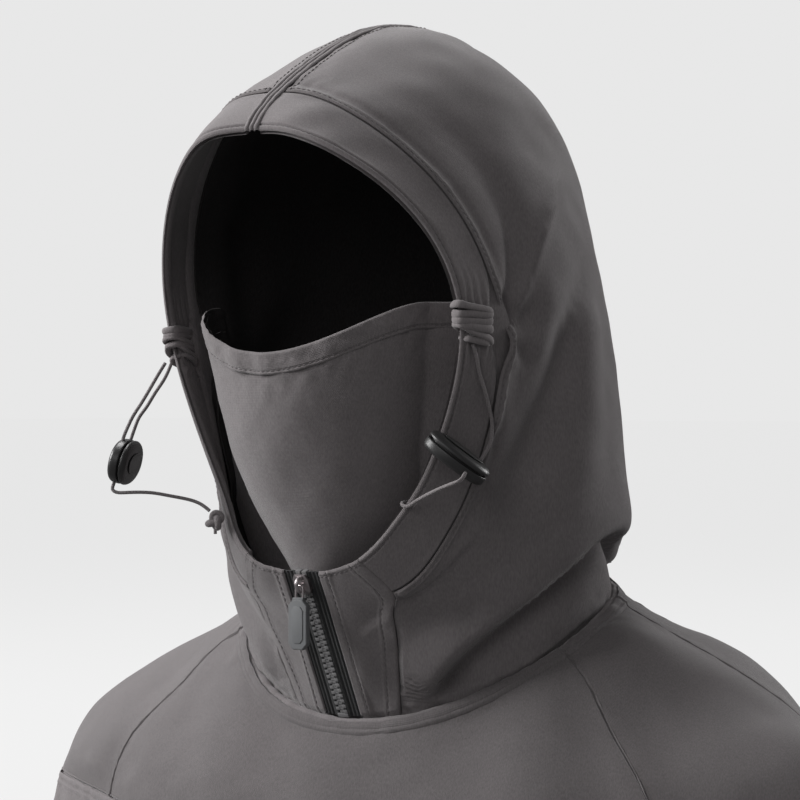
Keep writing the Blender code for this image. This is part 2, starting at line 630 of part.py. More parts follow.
def neck_piping(body, fabric):
    rings, sides = 40, 8
    angles = np.linspace(0, 360, rings, endpoint=False)
    points = []
    for angle in angles:
        centre = neck_seam(angle)
        ahead = neck_seam(angle + 1) - neck_seam(angle - 1)
        ahead /= np.linalg.norm(ahead)
        out = np.cross(ahead, (0, 0, 1))
        out /= np.linalg.norm(out)
        up = np.cross(out, ahead)
        for turn in np.linspace(0, 2 * math.pi, sides, endpoint=False):
            points.append(centre + PIPING_RADIUS * (math.cos(turn) * out + math.sin(turn) * up))
    faces = []
    for i in range(rings):
        for j in range(sides):
            k, m = (i + 1) % rings, (j + 1) % sides
            faces.append((i * sides + j, i * sides + m, k * sides + m, k * sides + j))
    add_object("neck_piping", mesh_of("neck_piping", points, faces), fabric, body)


def knot(name, place, parent, finish):
    mesh = bpy.data.meshes.new(name)
    shape = bmesh.new()
    bmesh.ops.create_icosphere(shape, subdivisions=2, radius=MM * KNOT_RADIUS)
    shape.to_mesh(mesh)
    shape.free()
    made = add_object(name, mesh, finish, parent)
    made.location = Vector(place) * MM


def main():
    for old in list(bpy.data.objects):
        bpy.data.objects.remove(old, do_unlink=True)

    fabric = material("softshell_grey", (0.13, 0.12, 0.125), 0.85)
    lining_cloth = material("lining_black", (0.012, 0.011, 0.012), 0.95)
    mask_cloth = material("mask_grey", (0.13, 0.12, 0.125), 0.9)
    tape_cloth = material("zip_tape_grey", (0.05, 0.05, 0.058), 0.8)
    cord_cloth = material("cord_grey", (0.14, 0.135, 0.14), 0.7)
    teeth_plastic = material("zip_teeth_grey", (0.14, 0.14, 0.155), 0.45)
    tab_rubber = material("pull_tab_grey", (0.15, 0.155, 0.17), 0.6)
    lock_plastic = material("lock_black", (0.018, 0.018, 0.02), 0.5)
    metal = material("slider_metal", (0.42, 0.42, 0.44), 0.35, 1.0)

    garment = empty("garment", None, Matrix.Translation((0, -MIDDLE_Y * MM, HEM_DROP * MM)))
    hood_panels(garment, fabric, lining_cloth)
    yoke_panels(garment, fabric)
    neck_piping(garment, fabric)
    for side, mirror in (("left", False), ("right", True)):
        cord_wrap(f"cord_wrap_{side}", side, garment, cord_cloth, mirror)

    mask = empty("mask", garment)
    hem_share = 1 - MASK_HEM / (MASK_TOP - MASK_LEVELS[0][0])
    mask_panel("face_mask", mask, mask_cloth, 0.0, hem_share - 0.002, 9, 0, FABRIC)
    mask_panel("mask_hem", mask, mask_cloth, hem_share + 0.002, 1.0, 3, 0.5, FABRIC + 1.0)

    up = ZIP_TOP.normalized()
    out = Vector((1, 0, 0)).cross(up)
    chain = empty("zip_chain", garment, frame_of((0, 0, 0), Vector((1, 0, 0)), -out, up))
    slider = empty("zip_slider", chain)
    hinge = out * 3.2 + up * 77.5
    pull = empty("zip_pull", garment, Matrix.Translation(hinge * MM))
    zip_parts(chain, slider, pull, tape_cloth, teeth_plastic, metal, tab_rubber)

    for side, (centre, face, cords_up) in LOCKS.items():
        face = Vector(face).normalized()
        cords_up = (Vector(cords_up) - Vector(cords_up).dot(face) * face).normalized()
        holder = empty(f"{side}_lock", garment, frame_of(centre, cords_up.cross(face), cords_up, face))
        button = empty(f"{side}_lock_press", holder)
        cord_lock(side, holder, button, lock_plastic, metal)
    for name, route in CORDS.items():
        tube(name, route, CORD_DIAMETER, cord_cloth, garment, step=3 * CORD_DIAMETER)
    for side, place in KNOTS.items():
        knot(f"{side}_cord_knot", place, garment, cord_cloth)


main()
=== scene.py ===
"""The looks of a hooded balaclava with a built-in face mask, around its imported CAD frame.

Lengths in this file are in millimetres, measured as in the CAD part from the front centre of the neck
seam, and turn into metres where a mesh is made.
"""

import math

import bmesh
import bpy
import numpy as np
from mathutils import Matrix, Vector


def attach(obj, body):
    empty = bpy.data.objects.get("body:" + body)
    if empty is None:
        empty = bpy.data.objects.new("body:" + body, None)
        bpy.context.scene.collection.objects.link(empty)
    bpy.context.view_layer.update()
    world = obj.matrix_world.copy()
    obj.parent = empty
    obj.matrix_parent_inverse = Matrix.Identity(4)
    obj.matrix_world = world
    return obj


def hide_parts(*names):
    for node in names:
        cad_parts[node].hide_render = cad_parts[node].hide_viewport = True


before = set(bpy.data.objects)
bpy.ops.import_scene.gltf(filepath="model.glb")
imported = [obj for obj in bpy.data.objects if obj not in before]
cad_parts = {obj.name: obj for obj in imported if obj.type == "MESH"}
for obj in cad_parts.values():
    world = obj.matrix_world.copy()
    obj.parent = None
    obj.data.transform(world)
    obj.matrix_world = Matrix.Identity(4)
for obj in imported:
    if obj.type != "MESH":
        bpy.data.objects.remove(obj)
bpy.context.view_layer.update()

MM = 0.001
NECK_SEAM_FRONT = Vector((0.0, -59.8273, 70.0))  # where the CAD part puts the front centre of the neck seam

# Driving dimensions, the CAD part's
FABRIC = 2.0
LINING_DEPTH = 4.4
BAND_THICKNESS = 4.0
LINING_THICKNESS, ZIP_TAPE_THICKNESS, COLLAR_THICKNESS = 1.0, 0.9, 2.4
STRIP_THICKNESS, HEM_THICKNESS, MASK_HEM_THICKNESS = 2.8, 3.6, FABRIC + 1.0
STRIP_HALF_WIDTH = 4.5
PIPING_RADIUS = 2.3
CORD_DIAMETER = 1.8
ZIP_TOP = Vector((0.0, -33.3, 76.5))
ZIP_LENGTH = ZIP_TOP.length
TAPE_EDGE = 13.0
NECK_HALF_WIDTH, NECK_DEPTH, NECK_RISE, NECK_SHOULDER_LIFT = 110.0, 128.0, 70.0, 18.0

# The camera: level, turned to the wearer's left of the front
CAMERA_AZIMUTH = math.radians(40.0)
CAMERA_DISTANCE = 1350.0
CAMERA_AIM = Vector((21.1, 17.7, 161.0))
CAMERA_LENS, CAMERA_SENSOR = 121.5, 36.0

# Lights: direction from the hood, then distance and width in metres, and watts
LIGHTS = {
    "key": ((-0.75, -0.514, 0.42), 1.6, 0.9, 33.0),
    "overhead": ((-0.35, 0.25, 0.9), 1.8, 0.9, 22.0),
    "rim_right": ((0.36, 0.92, 0.22), 2.2, 1.1, 22.0),
    "fill_front": ((0.3, -0.88, 0.36), 2.4, 1.4, 7.0),
}
LIGHTS_AIM = Vector((0, 30, 150))

# Lines over the wearer's left half of the hood, as in the CAD part: each runs from the face opening back to
# the neck seam, and its second point is on the brim band's seam.
RIBS = [
    [(0, -69, 291), (0, -50, 311), (0, 0, 341), (0, 50, 352),
     (0, 104, 329), (0, 138, 246), (0, 152, 150), (0, 145, 92)],
    [(40, -68, 284), (42, -45, 299), (55, 0, 317), (60, 45, 325),
     (60, 92, 299), (58, 122, 228), (57, 136, 140), (56, 130, 88)],
    [(81, -47, 252), (87, -25, 257), (98, 8, 261), (101, 40, 254),
     (98, 75, 232), (95, 98, 180), (95, 108, 124), (93, 104, 85)],
    [(97, -28, 196), (103, -6, 193), (107, 18, 187), (111, 38, 175),
     (112, 56, 150), (112, 68, 121), (112, 72, 95), (110, 72, 74)],
    [(76, -23, 135), (88, -4, 129), (95, 9, 115), (100, 20, 101),
     (103, 29, 86), (104, 35, 72), (103, 38, 59), (100, 36, 45)],
    [(59, -26, 108), (73, -10, 95), (77, -4, 85), (78, 2, 76),
     (77, 5, 66), (76, 8, 54), (75, 11, 41), (71, 13, 28)],
    [(37, -33, 84), (48, -20, 68), (45, -16, 59), (43, -12, 49),
     (41, -8, 40), (39, -5, 31), (37, -2, 22), (35, 1, 13)],
]
RIB_NECK_ANGLES = [180, 150, 122, 97, 60, 38, 17.5]
PRINCESS, ZIP, NECK = 6, 7, 8
BAND_END, PANEL_START, PINCH = 0.98, 1.02, 0.3

YOKE_RIBS = {
    0: [(0, -6, -17), (0, -11, -34), (0, -15, -51), (0, -18, -70)],
    35: [(75, 5, -2), (90, -2, -22), (101, -8, -44), (110, -10, -70)],
    70: [(125, 35, 24), (145, 27, 2), (172, 18, -27), (186, 16, -70)],
    88: [(140, 60, 37), (180, 55, 13), (234, 50, -16), (258, 46, -70)],
    105: [(140, 88, 43), (184, 92, 22), (233, 88, -14), (252, 84, -70)],
    140: [(98, 130, 49), (130, 150, 26), (156, 164, -16), (168, 168, -70)],
    180: [(0, 152, 54), (0, 172, 28), (0, 183, -14), (0, 186, -70)],
}
RAGLAN_FRONT, SHOULDER, RAGLAN_BACK = 2, 4, 5
HEM, HEM_BAND_SHARE = 4, 0.3
YOKE_ROUND = 2 * (len(YOKE_RIBS) - 1)  # the yoke's ribs, counted right round

# The mask's levels: height, front, half width, depth, and the place of its side edge
MASK_LEVELS = [
    (40, -10, 28, 22, 45, 14), (60, -19, 29, 25, 56, 10), (77, -26, 33, 30, 66, 6),
    (97, -35, 45, 36, 76, 6), (114, -42, 51, 40, 84, 8), (136, -50, 56, 42, 89, 10),
    (161, -57, 62, 45, 92, 12), (190, -62, 67, 45, 95, 14), (212, -64, 69, 45, 96, 14),
]
MASK_TOP, MASK_TOP_RISE, MASK_HEM = 184.0, 24.0, 11.0
MASK_CURVED, MASK_FLARE_DROP = 0.8, 15.0  # the share that curves, and the drop of the right flare's top

WRAP_AT = {"left": 2.97, "right": 3.09}  # places across the ribs
WRAP_TURNS, WRAP_HALF_LENGTH, WRAP_CORD = 6, 0.135, 2.0
LOCKS = {
    "left": ((93.3, -28.6, 132.3), (0.545, 0.275, 0.792), (-0.573, 0.812, 0.111)),
    "right": ((-105.6, -52.2, 130.0), (0.842, 0.478, -0.234), (0.213, 0.100, 0.972)),
}
LOCK_LONG, LOCK_SHORT = 17.0, 11.5
LOCK_BUTTON_UNDERSIDE = 3.6  # height of the button's wide part over the lock's middle, at rest
MIRRORED_FOLDS = 0.75  # how deep the wearer's right half's folds are, to the left's

# Cord routes: the CAD part's own points
CORDS = {
    "drawcord_left": [
        (99, -22, 187.4), (99, -19, 181), (98, -15.5, 173.5), (98, -11.5, 165.5), (97.5, -7.5, 157.5),
        (97, -5, 152), (96, -3.5, 146), (95, -3.5, 140.5), (93, -5.5, 135), (91.5, -9, 130.5),
        (93.5, -16, 128), (96, -20, 127.5), (98, -24.5, 127.5), (101, -29, 127.5), (103.5, -33, 127),
        (105, -35.5, 126.5), (105, -37.5, 124.5), (103, -38.5, 123), (98, -38, 121.5), (91, -36.5, 119.5),
        (84, -34, 117.5), (76, -31, 115), (69, -28.5, 112.5), (64.5, -27.5, 110.5),
        (61.5, -27.3, 110.3), (59.4, -26.5, 111), (57.8, -24.5, 111.6), (56.8, -22.2, 111.8),
        (57, -18.8, 111.4),
    ],
    "drawcord_right": [
        (-95.5, -31, 180), (-97, -35.5, 173), (-98.5, -40.5, 165), (-99.5, -45.5, 158), (-100, -49.5, 153),
        (-100.3, -53, 147.5), (-100.7, -55.7, 142), (-101.2, -57, 137), (-102.5, -57.3, 132),
        (-103.7, -57.2, 127), (-105, -57.2, 122), (-106, -57.7, 118), (-106.2, -58.2, 115.5),
        (-104, -57, 114), (-99, -54, 114), (-90, -48, 114), (-81.5, -42.5, 112.5),
        (-72.5, -37, 110.5), (-66.5, -34, 108), (-62.5, -32.5, 105),
    ],
    "drawcord_right_second_strand": [
        (-94.5, -27.5, 180), (-96.5, -30.5, 172), (-99.5, -34, 165), (-102.5, -37, 158),
        (-104.3, -40.3, 153), (-105.3, -42.3, 148.5), (-106.5, -44.3, 142), (-107.5, -45.4, 137.5),
    ],
}
KNOTS = {"left": (58.3, -14.1, 110.7), "right": (-59.0, -32.0, 100.0)}
KNOT_SIZE = 1.35


# ---------------------------------------------------------------- smooth curves and surfaces


def slopes_along(points, closed):
    count = len(points)
    system = 4 * np.eye(count)
    change = 3 * (np.roll(points, -1, axis=0) - np.roll(points, 1, axis=0))
    for i in range(count if closed else count - 1):
        system[i, (i + 1) % count] = system[(i + 1) % count, i] = 1
    if not closed:
        system[0, 0] = system[-1, -1] = 2
        change[0], change[-1] = 3 * (points[1] - points[0]), 3 * (points[-1] - points[-2])
    return np.linalg.solve(system, change.reshape(count, -1)).reshape(points.shape)


def spline(points, at, closed=False, paired=False):
    """Values of the smooth curve through points, which lie one apart, at the given places."""
    points, at = np.asarray(points, float), np.asarray(at, float)
    slopes, count = slopes_along(points, closed), len(points)
    at = at % count if closed else at
    start = np.floor(at).astype(int) if closed else np.clip(np.floor(at).astype(int), 0, count - 2)
    end = (start + 1) % count
    part = at - start
    if paired:
        pick = np.ix_(*(range(size) for size in at.shape))
        near_point, far_point = points[(start, *pick)], points[(end, *pick)]
        near_slope, far_slope = slopes[(start, *pick)], slopes[(end, *pick)]
    else:
        near_point, far_point, near_slope, far_slope = points[start], points[end], slopes[start], slopes[end]
    part = part.reshape(at.shape + (1,) * (near_point.ndim - at.ndim))
    return (
        (1 + 2 * part) * (1 - part) ** 2 * near_point + (3 - 2 * part) * part**2 * far_point
        + part * (1 - part) ** 2 * near_slope - (1 - part) * part**2 * far_slope
    )


def neck_seam(degrees):
    angle = np.radians(degrees)
    back = (1 - np.cos(angle)) / 2
    side = NECK_HALF_WIDTH * np.sin(angle)
    rise = NECK_RISE * back + NECK_SHOULDER_LIFT * np.sin(angle) ** 2
    return np.stack([side, NECK_DEPTH * back, rise], -1)


def hood_net():
    left = [list(rib) + [tuple(neck_seam(angle))] for rib, angle in zip(RIBS, RIB_NECK_ANGLES)]
    zip_rib = [tuple(ZIP_TOP * (1 - k / NECK)) for k in range(NECK + 1)]
    right = [[(-x, y, z) for x, y, z in rib] for rib in reversed(left[1:])]
    return np.array(left + [zip_rib] + right, float)


HOOD_NET = hood_net()
YOKE_NET = np.array(
    [[tuple(neck_seam(angle))] + rib for angle, rib in YOKE_RIBS.items()]
    + [[tuple(neck_seam(-angle))] + [(-x, y, z) for x, y, z in YOKE_RIBS[angle]]
       for angle in sorted(YOKE_RIBS, reverse=True)[1:-1]],
    float,
)


def net_point(net, across, along):
    across, along = np.broadcast_arrays(np.asarray(across, float), np.asarray(along, float))
    rings = spline(net.transpose(1, 0, 2), along)
    return spline(np.moveaxis(rings, -2, 0), across, closed=True, paired=True)


def unit(vectors):
    return vectors / np.maximum(np.linalg.norm(vectors, axis=-1, keepdims=True), 1e-9)


def net_normal(net, across, along):
    step = 0.01
    side = net_point(net, across + step, along) - net_point(net, across - step, along)
    down = net_point(net, across, along + step) - net_point(net, across, along - step)
    return unit(np.cross(side, down))


def line_at_x(x, low, high):
    """The place across the hood, between two ribs, where it is x from the middle, by place along."""
    along = np.linspace(0, NECK, 65)
    low, high = np.full(len(along), float(low)), np.full(len(along), float(high))
    rising = net_point(HOOD_NET, high, along)[:, 0] > net_point(HOOD_NET, low, along)[:, 0]
    for _ in range(24):
        middle = (low + high) / 2
        before = (net_point(HOOD_NET, middle, along)[:, 0] < x) == rising
        low, high = np.where(before, middle, low), np.where(before, high, middle)
    return lambda place: np.interp(place, along, (low + high) / 2)


def shares(length, fine, coarse, margin):
    """Places from 0 to 1 over a length, fine near both ends and coarse in the middle."""
    stops, at = [0.0], 0.0
    while at < length:
        from_end = min(at, length - at)
        at += fine + (coarse - fine) * min(max(from_end - margin, 0) / (4 * margin), 1.0)
        stops.append(at)
    return np.array(stops) / stops[-1]


def ripple(points, size, seed, count=16):
    """Smooth noise of about unit height over points, from plane waves about size long."""
    rng = np.random.default_rng(seed)
    total = np.zeros(points.shape[:-1])
    for _ in range(count):
        direction = rng.normal(size=points.shape[-1])
        direction /= np.linalg.norm(direction)
        length = size * rng.uniform(0.7, 1.6)
        total += np.sin(2 * np.pi * (points @ direction) / length + rng.uniform(0, 6.3))
    return total / math.sqrt(count / 2)


def ramp(value, low, high):
    part = np.clip((value - low) / (high - low), 0, 1)
    return part * part * (3 - 2 * part)


def hump(value, width):
    return np.exp(-((value / width) ** 2))


def edge_thinning(distance, depth, radius):
    """How much thinner a closed strip is, this far in from its rolled edge."""
    part = np.clip(1 - distance / radius, 0, 1)
    return 2 * depth * (1 - np.sqrt(1 - part**2 * 0.98))


def edge_roll(distance, radius):
    """How far a folded edge drops, this far in from it."""
    part = np.clip(1 - distance / radius, 0, 1)
    return -radius * (1 - np.sqrt(1 - part**2 * 0.98))


# ---------------------------------------------------------------- meshes


def to_frame(points):
    return (np.asarray(points, float).reshape(-1, 3) + np.array(NECK_SEAM_FRONT)) * MM


def new_object(name, points, faces, finish, slot, sharp=50.0, weave=None):
    mesh = bpy.data.meshes.new(name)
    mesh.from_pydata(to_frame(points).tolist(), [], faces)
    if weave is not None:
        layer = mesh.uv_layers.new(name="weave")
        loops = np.empty(len(mesh.loops), int)
        mesh.loops.foreach_get("vertex_index", loops)
        layer.data.foreach_set("uv", (np.asarray(weave).reshape(-1, 2)[loops] * MM).ravel())
    mesh.materials.append(finish)
    mesh.shade_smooth()
    mesh.set_sharp_from_angle(angle=math.radians(sharp))
    piece = bpy.data.objects.new(name, mesh)
    bpy.context.scene.collection.objects.link(piece)
    return piece


def outward(piece):
    """Turns a closed piece's faces outwards."""
    shape = bmesh.new()
    shape.from_mesh(piece.data)
    bmesh.ops.recalc_face_normals(shape, faces=shape.faces)
    shape.to_mesh(piece.data)
    shape.free()
    return piece


def arcs(grid_points, axis):
    """Distance run along one axis of a grid of points, from its first row."""
    steps = np.linalg.norm(np.diff(grid_points, axis=axis), axis=-1)
    start = np.zeros_like(np.take(steps, [0], axis=axis))
    return np.concatenate([start, np.cumsum(steps, axis=axis)], axis=axis)


class Sheet:
    """A sewn panel: its outer face as a grid, with the distances to its four edges."""

    def __init__(self, base, normal, across=None, along=None):
        self.across, self.along = across, along
        self.base, self.normal = base, normal
        self.run_across, self.run_along = arcs(self.base, 0), arcs(self.base, 1)
        self.start_side = self.run_across
        self.end_side = self.run_across[-1] - self.run_across
        self.front_edge = self.run_along
        self.back_edge = self.run_along[:, -1:] - self.run_along
        self.face = self.base

    def shape(self, relief, mirror=False):
        """Raises the face by relief, and turns a sheet of the wearer's left into one of the right."""
        self.face = self.base + self.normal * relief[..., None]
        side, down = np.gradient(self.face, axis=0), np.gradient(self.face, axis=1)
        turned = np.cross(side, down)
        facing = np.sign(np.sum(turned * self.normal, axis=-1, keepdims=True))
        self.normal = unit(turned * facing)
        if mirror:
            self.face, self.normal = self.face * (-1, 1, 1), self.normal * (-1, 1, 1)

    def apart(self, line):
        """Distance from each point to a line, signed by its side, and the share run along the line."""
        line = np.asarray(line)
        offset = self.base[:, :, None] - line
        distance = np.linalg.norm(offset, axis=-1)
        nearest = distance.argmin(axis=-1)
        ahead = unit(np.gradient(line, axis=0))[nearest]
        offset = np.take_along_axis(offset, nearest[..., None, None], axis=2)[:, :, 0]
        side = np.sum(np.cross(self.normal, ahead) * offset, axis=-1)
        distance = np.take_along_axis(distance, nearest[..., None], axis=2)[..., 0]
        return distance * np.sign(side), nearest / len(line)

    def line(self, distance, value, rows=True):
        """Points and normals of the line where distance is value, one in each row, or in each column."""
        face, normal = self.face, self.normal
        if not rows:
            face, normal, distance = face.swapaxes(0, 1), normal.swapaxes(0, 1), distance.T
        points, normals = [], []
        for places, ups, away in zip(face, normal, distance):
            order = np.argsort(away)
            if away.min() <= value <= away.max():
                points.append([np.interp(value, away[order], places[order, k]) for k in range(3)])
                normals.append([np.interp(value, away[order], ups[order, k]) for k in range(3)])
        return np.array(points), np.array(normals)

    def build(self, name, finish, slot, body, thickness, *nodes, inside=None):
        rows, columns = self.face.shape[:2]
        back = self.face - self.normal * np.broadcast_to(thickness, (rows, columns))[..., None]
        points = np.concatenate([self.face.reshape(-1, 3), back.reshape(-1, 3)])
        index = np.arange(rows * columns).reshape(rows, columns)
        quads = np.stack([index[:-1, :-1], index[:-1, 1:], index[1:, 1:], index[1:, :-1]], -1).reshape(-1, 4)
        size = rows * columns
        faces = quads.tolist() + (quads[:, ::-1] + size).tolist()
        border = np.concatenate([index[0, :], index[1:, -1], index[-1, -2::-1], index[-2:0:-1, 0]])
        after = np.roll(border, -1)
        faces += np.stack([after, border, border + size, after + size], -1).tolist()
        weave = np.stack([self.run_across.ravel(), self.run_along.ravel()], -1)
        piece = new_object(name, points, faces, finish, slot, weave=np.concatenate([weave, weave]))
        # Back faces in a second finish: on the mask the near-black is painted shade, for the shadow inside
        # the hood.
        if inside:
            piece.data.materials.append(inside)
            for face in piece.data.polygons[len(quads):2 * len(quads)]:
                face.material_index = 1
        outward(piece)
        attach(piece, body)
        if nodes:
            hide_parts(*nodes)
        return piece


def smooth_path(route, step):
    """Points step apart along the smooth curve through a route."""
    fine = spline(route, np.linspace(0, len(route) - 1, 40 * len(route)))
    run = np.concatenate([[0], np.cumsum(np.linalg.norm(np.diff(fine, axis=0), axis=1))])
    stops = np.linspace(0, run[-1], max(2, round(run[-1] / step)) + 1)
    return np.stack([np.interp(stops, run, fine[:, axis]) for axis in range(3)], -1)


def tube_parts(path, radius, sides=12, closed=False, flat=1.0, up=(0, 0, 1)):
    """Points and faces of a tube along a path. flat squeezes it across up."""
    path = np.asarray(path, float)
    ahead = unit(np.roll(path, -1, 0) - np.roll(path, 1, 0)) if closed else unit(np.gradient(path, axis=0))
    side = np.zeros_like(path)
    side[0] = unit(np.cross(ahead[0], up) + 1e-6)
    for i in range(1, len(path)):
        side[i] = unit(side[i - 1] - np.dot(side[i - 1], ahead[i]) * ahead[i])
    over = np.cross(ahead, side)
    turn = np.linspace(0, 2 * np.pi, sides, endpoint=False)
    radius = np.broadcast_to(radius, len(path))[:, None, None]
    rings = path[:, None] + radius * (
        flat * np.cos(turn)[None, :, None] * side[:, None] + np.sin(turn)[None, :, None] * over[:, None])
    count = len(path)
    index = np.arange(count * sides).reshape(count, sides)
    ahead_rows = np.roll(index, -1, 0) if closed else index[1:]
    here = index if closed else index[:-1]
    faces = np.stack([here, np.roll(here, -1, 1), np.roll(ahead_rows, -1, 1), ahead_rows], -1)
    faces = faces.reshape(-1, 4).tolist()
    if not closed:
        faces += [index[0, ::-1].tolist(), index[-1].tolist()]
    return rings.reshape(-1, 3), faces


def joined(parts):
    """Several (points, faces) as one."""
    points, faces, start = [], [], 0
    for some_points, some_faces in parts:
        points.append(some_points)
        faces += [[start + corner for corner in face] for face in some_faces]
        start += len(some_points)
    return np.concatenate(points), faces


def stitch_row(points, normals, length=2.3, gap=0.9, width=0.32, lift=0.12):
    """Short threads end to end along a line on a cloth."""
    run = np.concatenate([[0], np.cumsum(np.linalg.norm(np.diff(points, axis=0), axis=1))])
    parts = []
    for start in np.arange(gap, run[-1] - length, length + gap):
        stops = start + length * np.linspace(0, 1, 5)
        path = np.stack([np.interp(stops, run, points[:, k]) for k in range(3)], -1)
        up = unit(np.stack([np.interp(stops, run, normals[:, k]) for k in range(3)], -1))
        bow = np.sin(np.linspace(0, np.pi, 5))[:, None]
        path = path + up * (lift + 0.22 * (bow - 0.6))
        parts.append(tube_parts(path, width * (0.45 + 0.55 * bow[:, 0]), sides=6))
    return joined(parts)


def stitching(name, rows, slot="softshell", body="hood"):
    piece = new_object(name, *joined([stitch_row(*row) for row in rows]), thread_grey, slot)
    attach(outward(piece), body)


def block_parts(low, high, bevel):
    """Points and faces of a box with rounded edges."""
    shape = bmesh.new()
    bmesh.ops.create_cube(shape, size=1.0)
    low, high = Vector(low), Vector(high)
    for corner in shape.verts:
        corner.co = Vector([low[k] + (high[k] - low[k]) * (corner.co[k] + 0.5) for k in range(3)])
    return bevelled(shape, bevel)


def prism_parts(outline, low, high, bevel, segments=2):
    """An outline in the first and third axes, from low to high along the second, with rounded edges."""
    shape = bmesh.new()
    near = [shape.verts.new((x, low, z)) for x, z in outline]
    far = [shape.verts.new((x, high, z)) for x, z in outline]
    shape.faces.new(near)
    shape.faces.new(far[::-1])
    for i in range(len(outline)):
        j = (i + 1) % len(outline)
        shape.faces.new((near[i], far[i], far[j], near[j]))
    bmesh.ops.recalc_face_normals(shape, faces=shape.faces)
    return bevelled(shape, bevel, segments)


def bevelled(shape, bevel, segments=2):
    bmesh.ops.bevel(shape, geom=shape.edges[:], offset=bevel, segments=segments, profile=0.7,
                    affect="EDGES", clamp_overlap=True)
    shape.verts.index_update()
    points = np.array([corner.co[:] for corner in shape.verts])
    faces = [[corner.index for corner in face.verts] for face in shape.faces]
    shape.free()
    return points, faces


def placed(parts, origin, x_axis, y_axis, z_axis):
    points, faces = parts
    axes = np.array([x_axis, y_axis, z_axis], float)
    return points @ axes + np.array(origin), faces


# ---------------------------------------------------------------- finishes


class Finish:
    """A procedural material: a node tree around one Principled BSDF."""

    def __init__(self, name, roughness, metallic=0.0, sheen=0.0, specular=0.5):
        self.material = bpy.data.materials.new(name)
        self.material.use_nodes = True
        self.nodes = self.material.node_tree.nodes
        self.shader = self.nodes["Principled BSDF"]
        self.shader.inputs["Roughness"].default_value = roughness
        self.shader.inputs["Metallic"].default_value = metallic
        self.shader.inputs["Sheen Weight"].default_value = sheen
        self.shader.inputs["Sheen Roughness"].default_value = 0.45
        self.shader.inputs["Specular IOR Level"].default_value = specular

    def link(self, start, end):
        self.material.node_tree.links.new(start, end)

    def node(self, kind, **values):
        made = self.nodes.new(kind)
        for name, value in values.items():
            if name in made.inputs:
                made.inputs[name].default_value = value
            else:
                setattr(made, name, value)
        return made

    def noise(self, scale, detail, stretch=None):
        at = self.node("ShaderNodeTexCoord").outputs["Object"]
        if stretch:
            mapping = self.node("ShaderNodeMapping")
            mapping.inputs["Scale"].default_value = stretch
            self.link(at, mapping.inputs["Vector"])
            at = mapping.outputs["Vector"]
        noise = self.node("ShaderNodeTexNoise", Scale=scale, Detail=detail)
        self.link(at, noise.inputs["Vector"])
        return noise.outputs["Fac"]

    def mapped(self, value, low, high, to_low, to_high):
        node = self.node("ShaderNodeMapRange")
        self.link(value, node.inputs["Value"])
        for name, number in (("From Min", low), ("From Max", high), ("To Min", to_low), ("To Max", to_high)):
            node.inputs[name].default_value = number
        return node.outputs["Result"]

    def mathed(self, operation, first, second):
        node = self.node("ShaderNodeMath", operation=operation)
        for socket, value in zip(node.inputs, (first, second)):
            if isinstance(value, (int, float)):
                socket.default_value = value
            else:
                self.link(value, socket)
        return node.outputs["Value"]

    def colour(self, value, *stops):
        """Colours the surface by a value, through stops of (place, linear colour)."""
        ramp_node = self.node("ShaderNodeValToRGB")
        steps = ramp_node.color_ramp.elements
        while len(steps) < len(stops):
            steps.new(0.5)
        for step, (place, colour) in zip(steps, stops):
            step.position, step.color = place, (*colour, 1.0)
        self.link(value, ramp_node.inputs["Fac"])
        self.link(ramp_node.outputs["Color"], self.shader.inputs["Base Color"])

    def bump(self, height, distance, strength=1.0):
        node = self.node("ShaderNodeBump", Strength=strength, Distance=distance)
        self.link(height, node.inputs["Height"])
        before = self.shader.inputs["Normal"].links
        if before:
            self.link(before[0].from_socket, node.inputs["Normal"])
        self.link(node.outputs["Normal"], self.shader.inputs["Normal"])

    def vary_roughness(self, value, low, high):
        self.link(self.mapped(value, 0.3, 0.7, low, high), self.shader.inputs["Roughness"])

    def weave(self, thread):
        """Heights of a plain weave whose threads are this far apart, in metres."""
        heights = []
        for direction in ("X", "Y"):
            wave = self.node("ShaderNodeTexWave", Scale=math.pi / (10 * thread), Distortion=1.2,
                             bands_direction=direction)
            wave.inputs["Detail"].default_value = 1.0
            wave.inputs["Detail Scale"].default_value = 2.0
            self.link(self.node("ShaderNodeTexCoord").outputs["UV"], wave.inputs["Vector"])
            heights.append(wave.outputs["Fac"])
        return self.mathed("ADD", heights[0], heights[1])


WARM_GREY = (1.0, 0.91, 0.928)


def shade(value, tint=WARM_GREY):
    return tuple(value * part for part in tint)


def cloth_finish(name, value, thread=0.0006, fleck=0.16, depth=0.00012, sheen=0.25, tint=WARM_GREY):
    """Brushed melange cloth: mixed light and dark fibres, a fine weave, and slight wear."""
    made = Finish(name, 0.9, sheen=sheen, specular=0.25)
    fibres = made.noise(1.0, 2.0, stretch=(1500, 1500, 420))
    patches = made.noise(28.0, 4.0)
    mixed = made.mathed("ADD", made.mathed("MULTIPLY", fibres, 0.7), made.mathed("MULTIPLY", patches, 0.3))
    low, high = value * (1 - fleck), value * (1 + fleck)
    made.colour(mixed, (0.34, shade(low, tint)), (0.5, shade(value, tint)), (0.66, shade(high, tint)))
    made.vary_roughness(patches, 0.82, 0.96)
    made.bump(made.weave(thread), depth, 0.5)
    made.bump(fibres, depth, 0.35)
    return made.material


def moulded_finish(name, value, roughness, tint=(1.0, 0.985, 1.0)):
    """Moulded plastic or rubber with a fine grain, and a little polish from handling."""
    made = Finish(name, roughness, specular=0.5)
    wear = made.noise(60.0, 4.0)
    made.colour(wear, (0.3, shade(value * 0.88, tint)), (0.7, shade(value * 1.15, tint)))
    made.vary_roughness(wear, roughness + 0.07, roughness - 0.07)
    made.bump(made.noise(900.0, 2.0), 0.00006, 0.4)
    return made.material


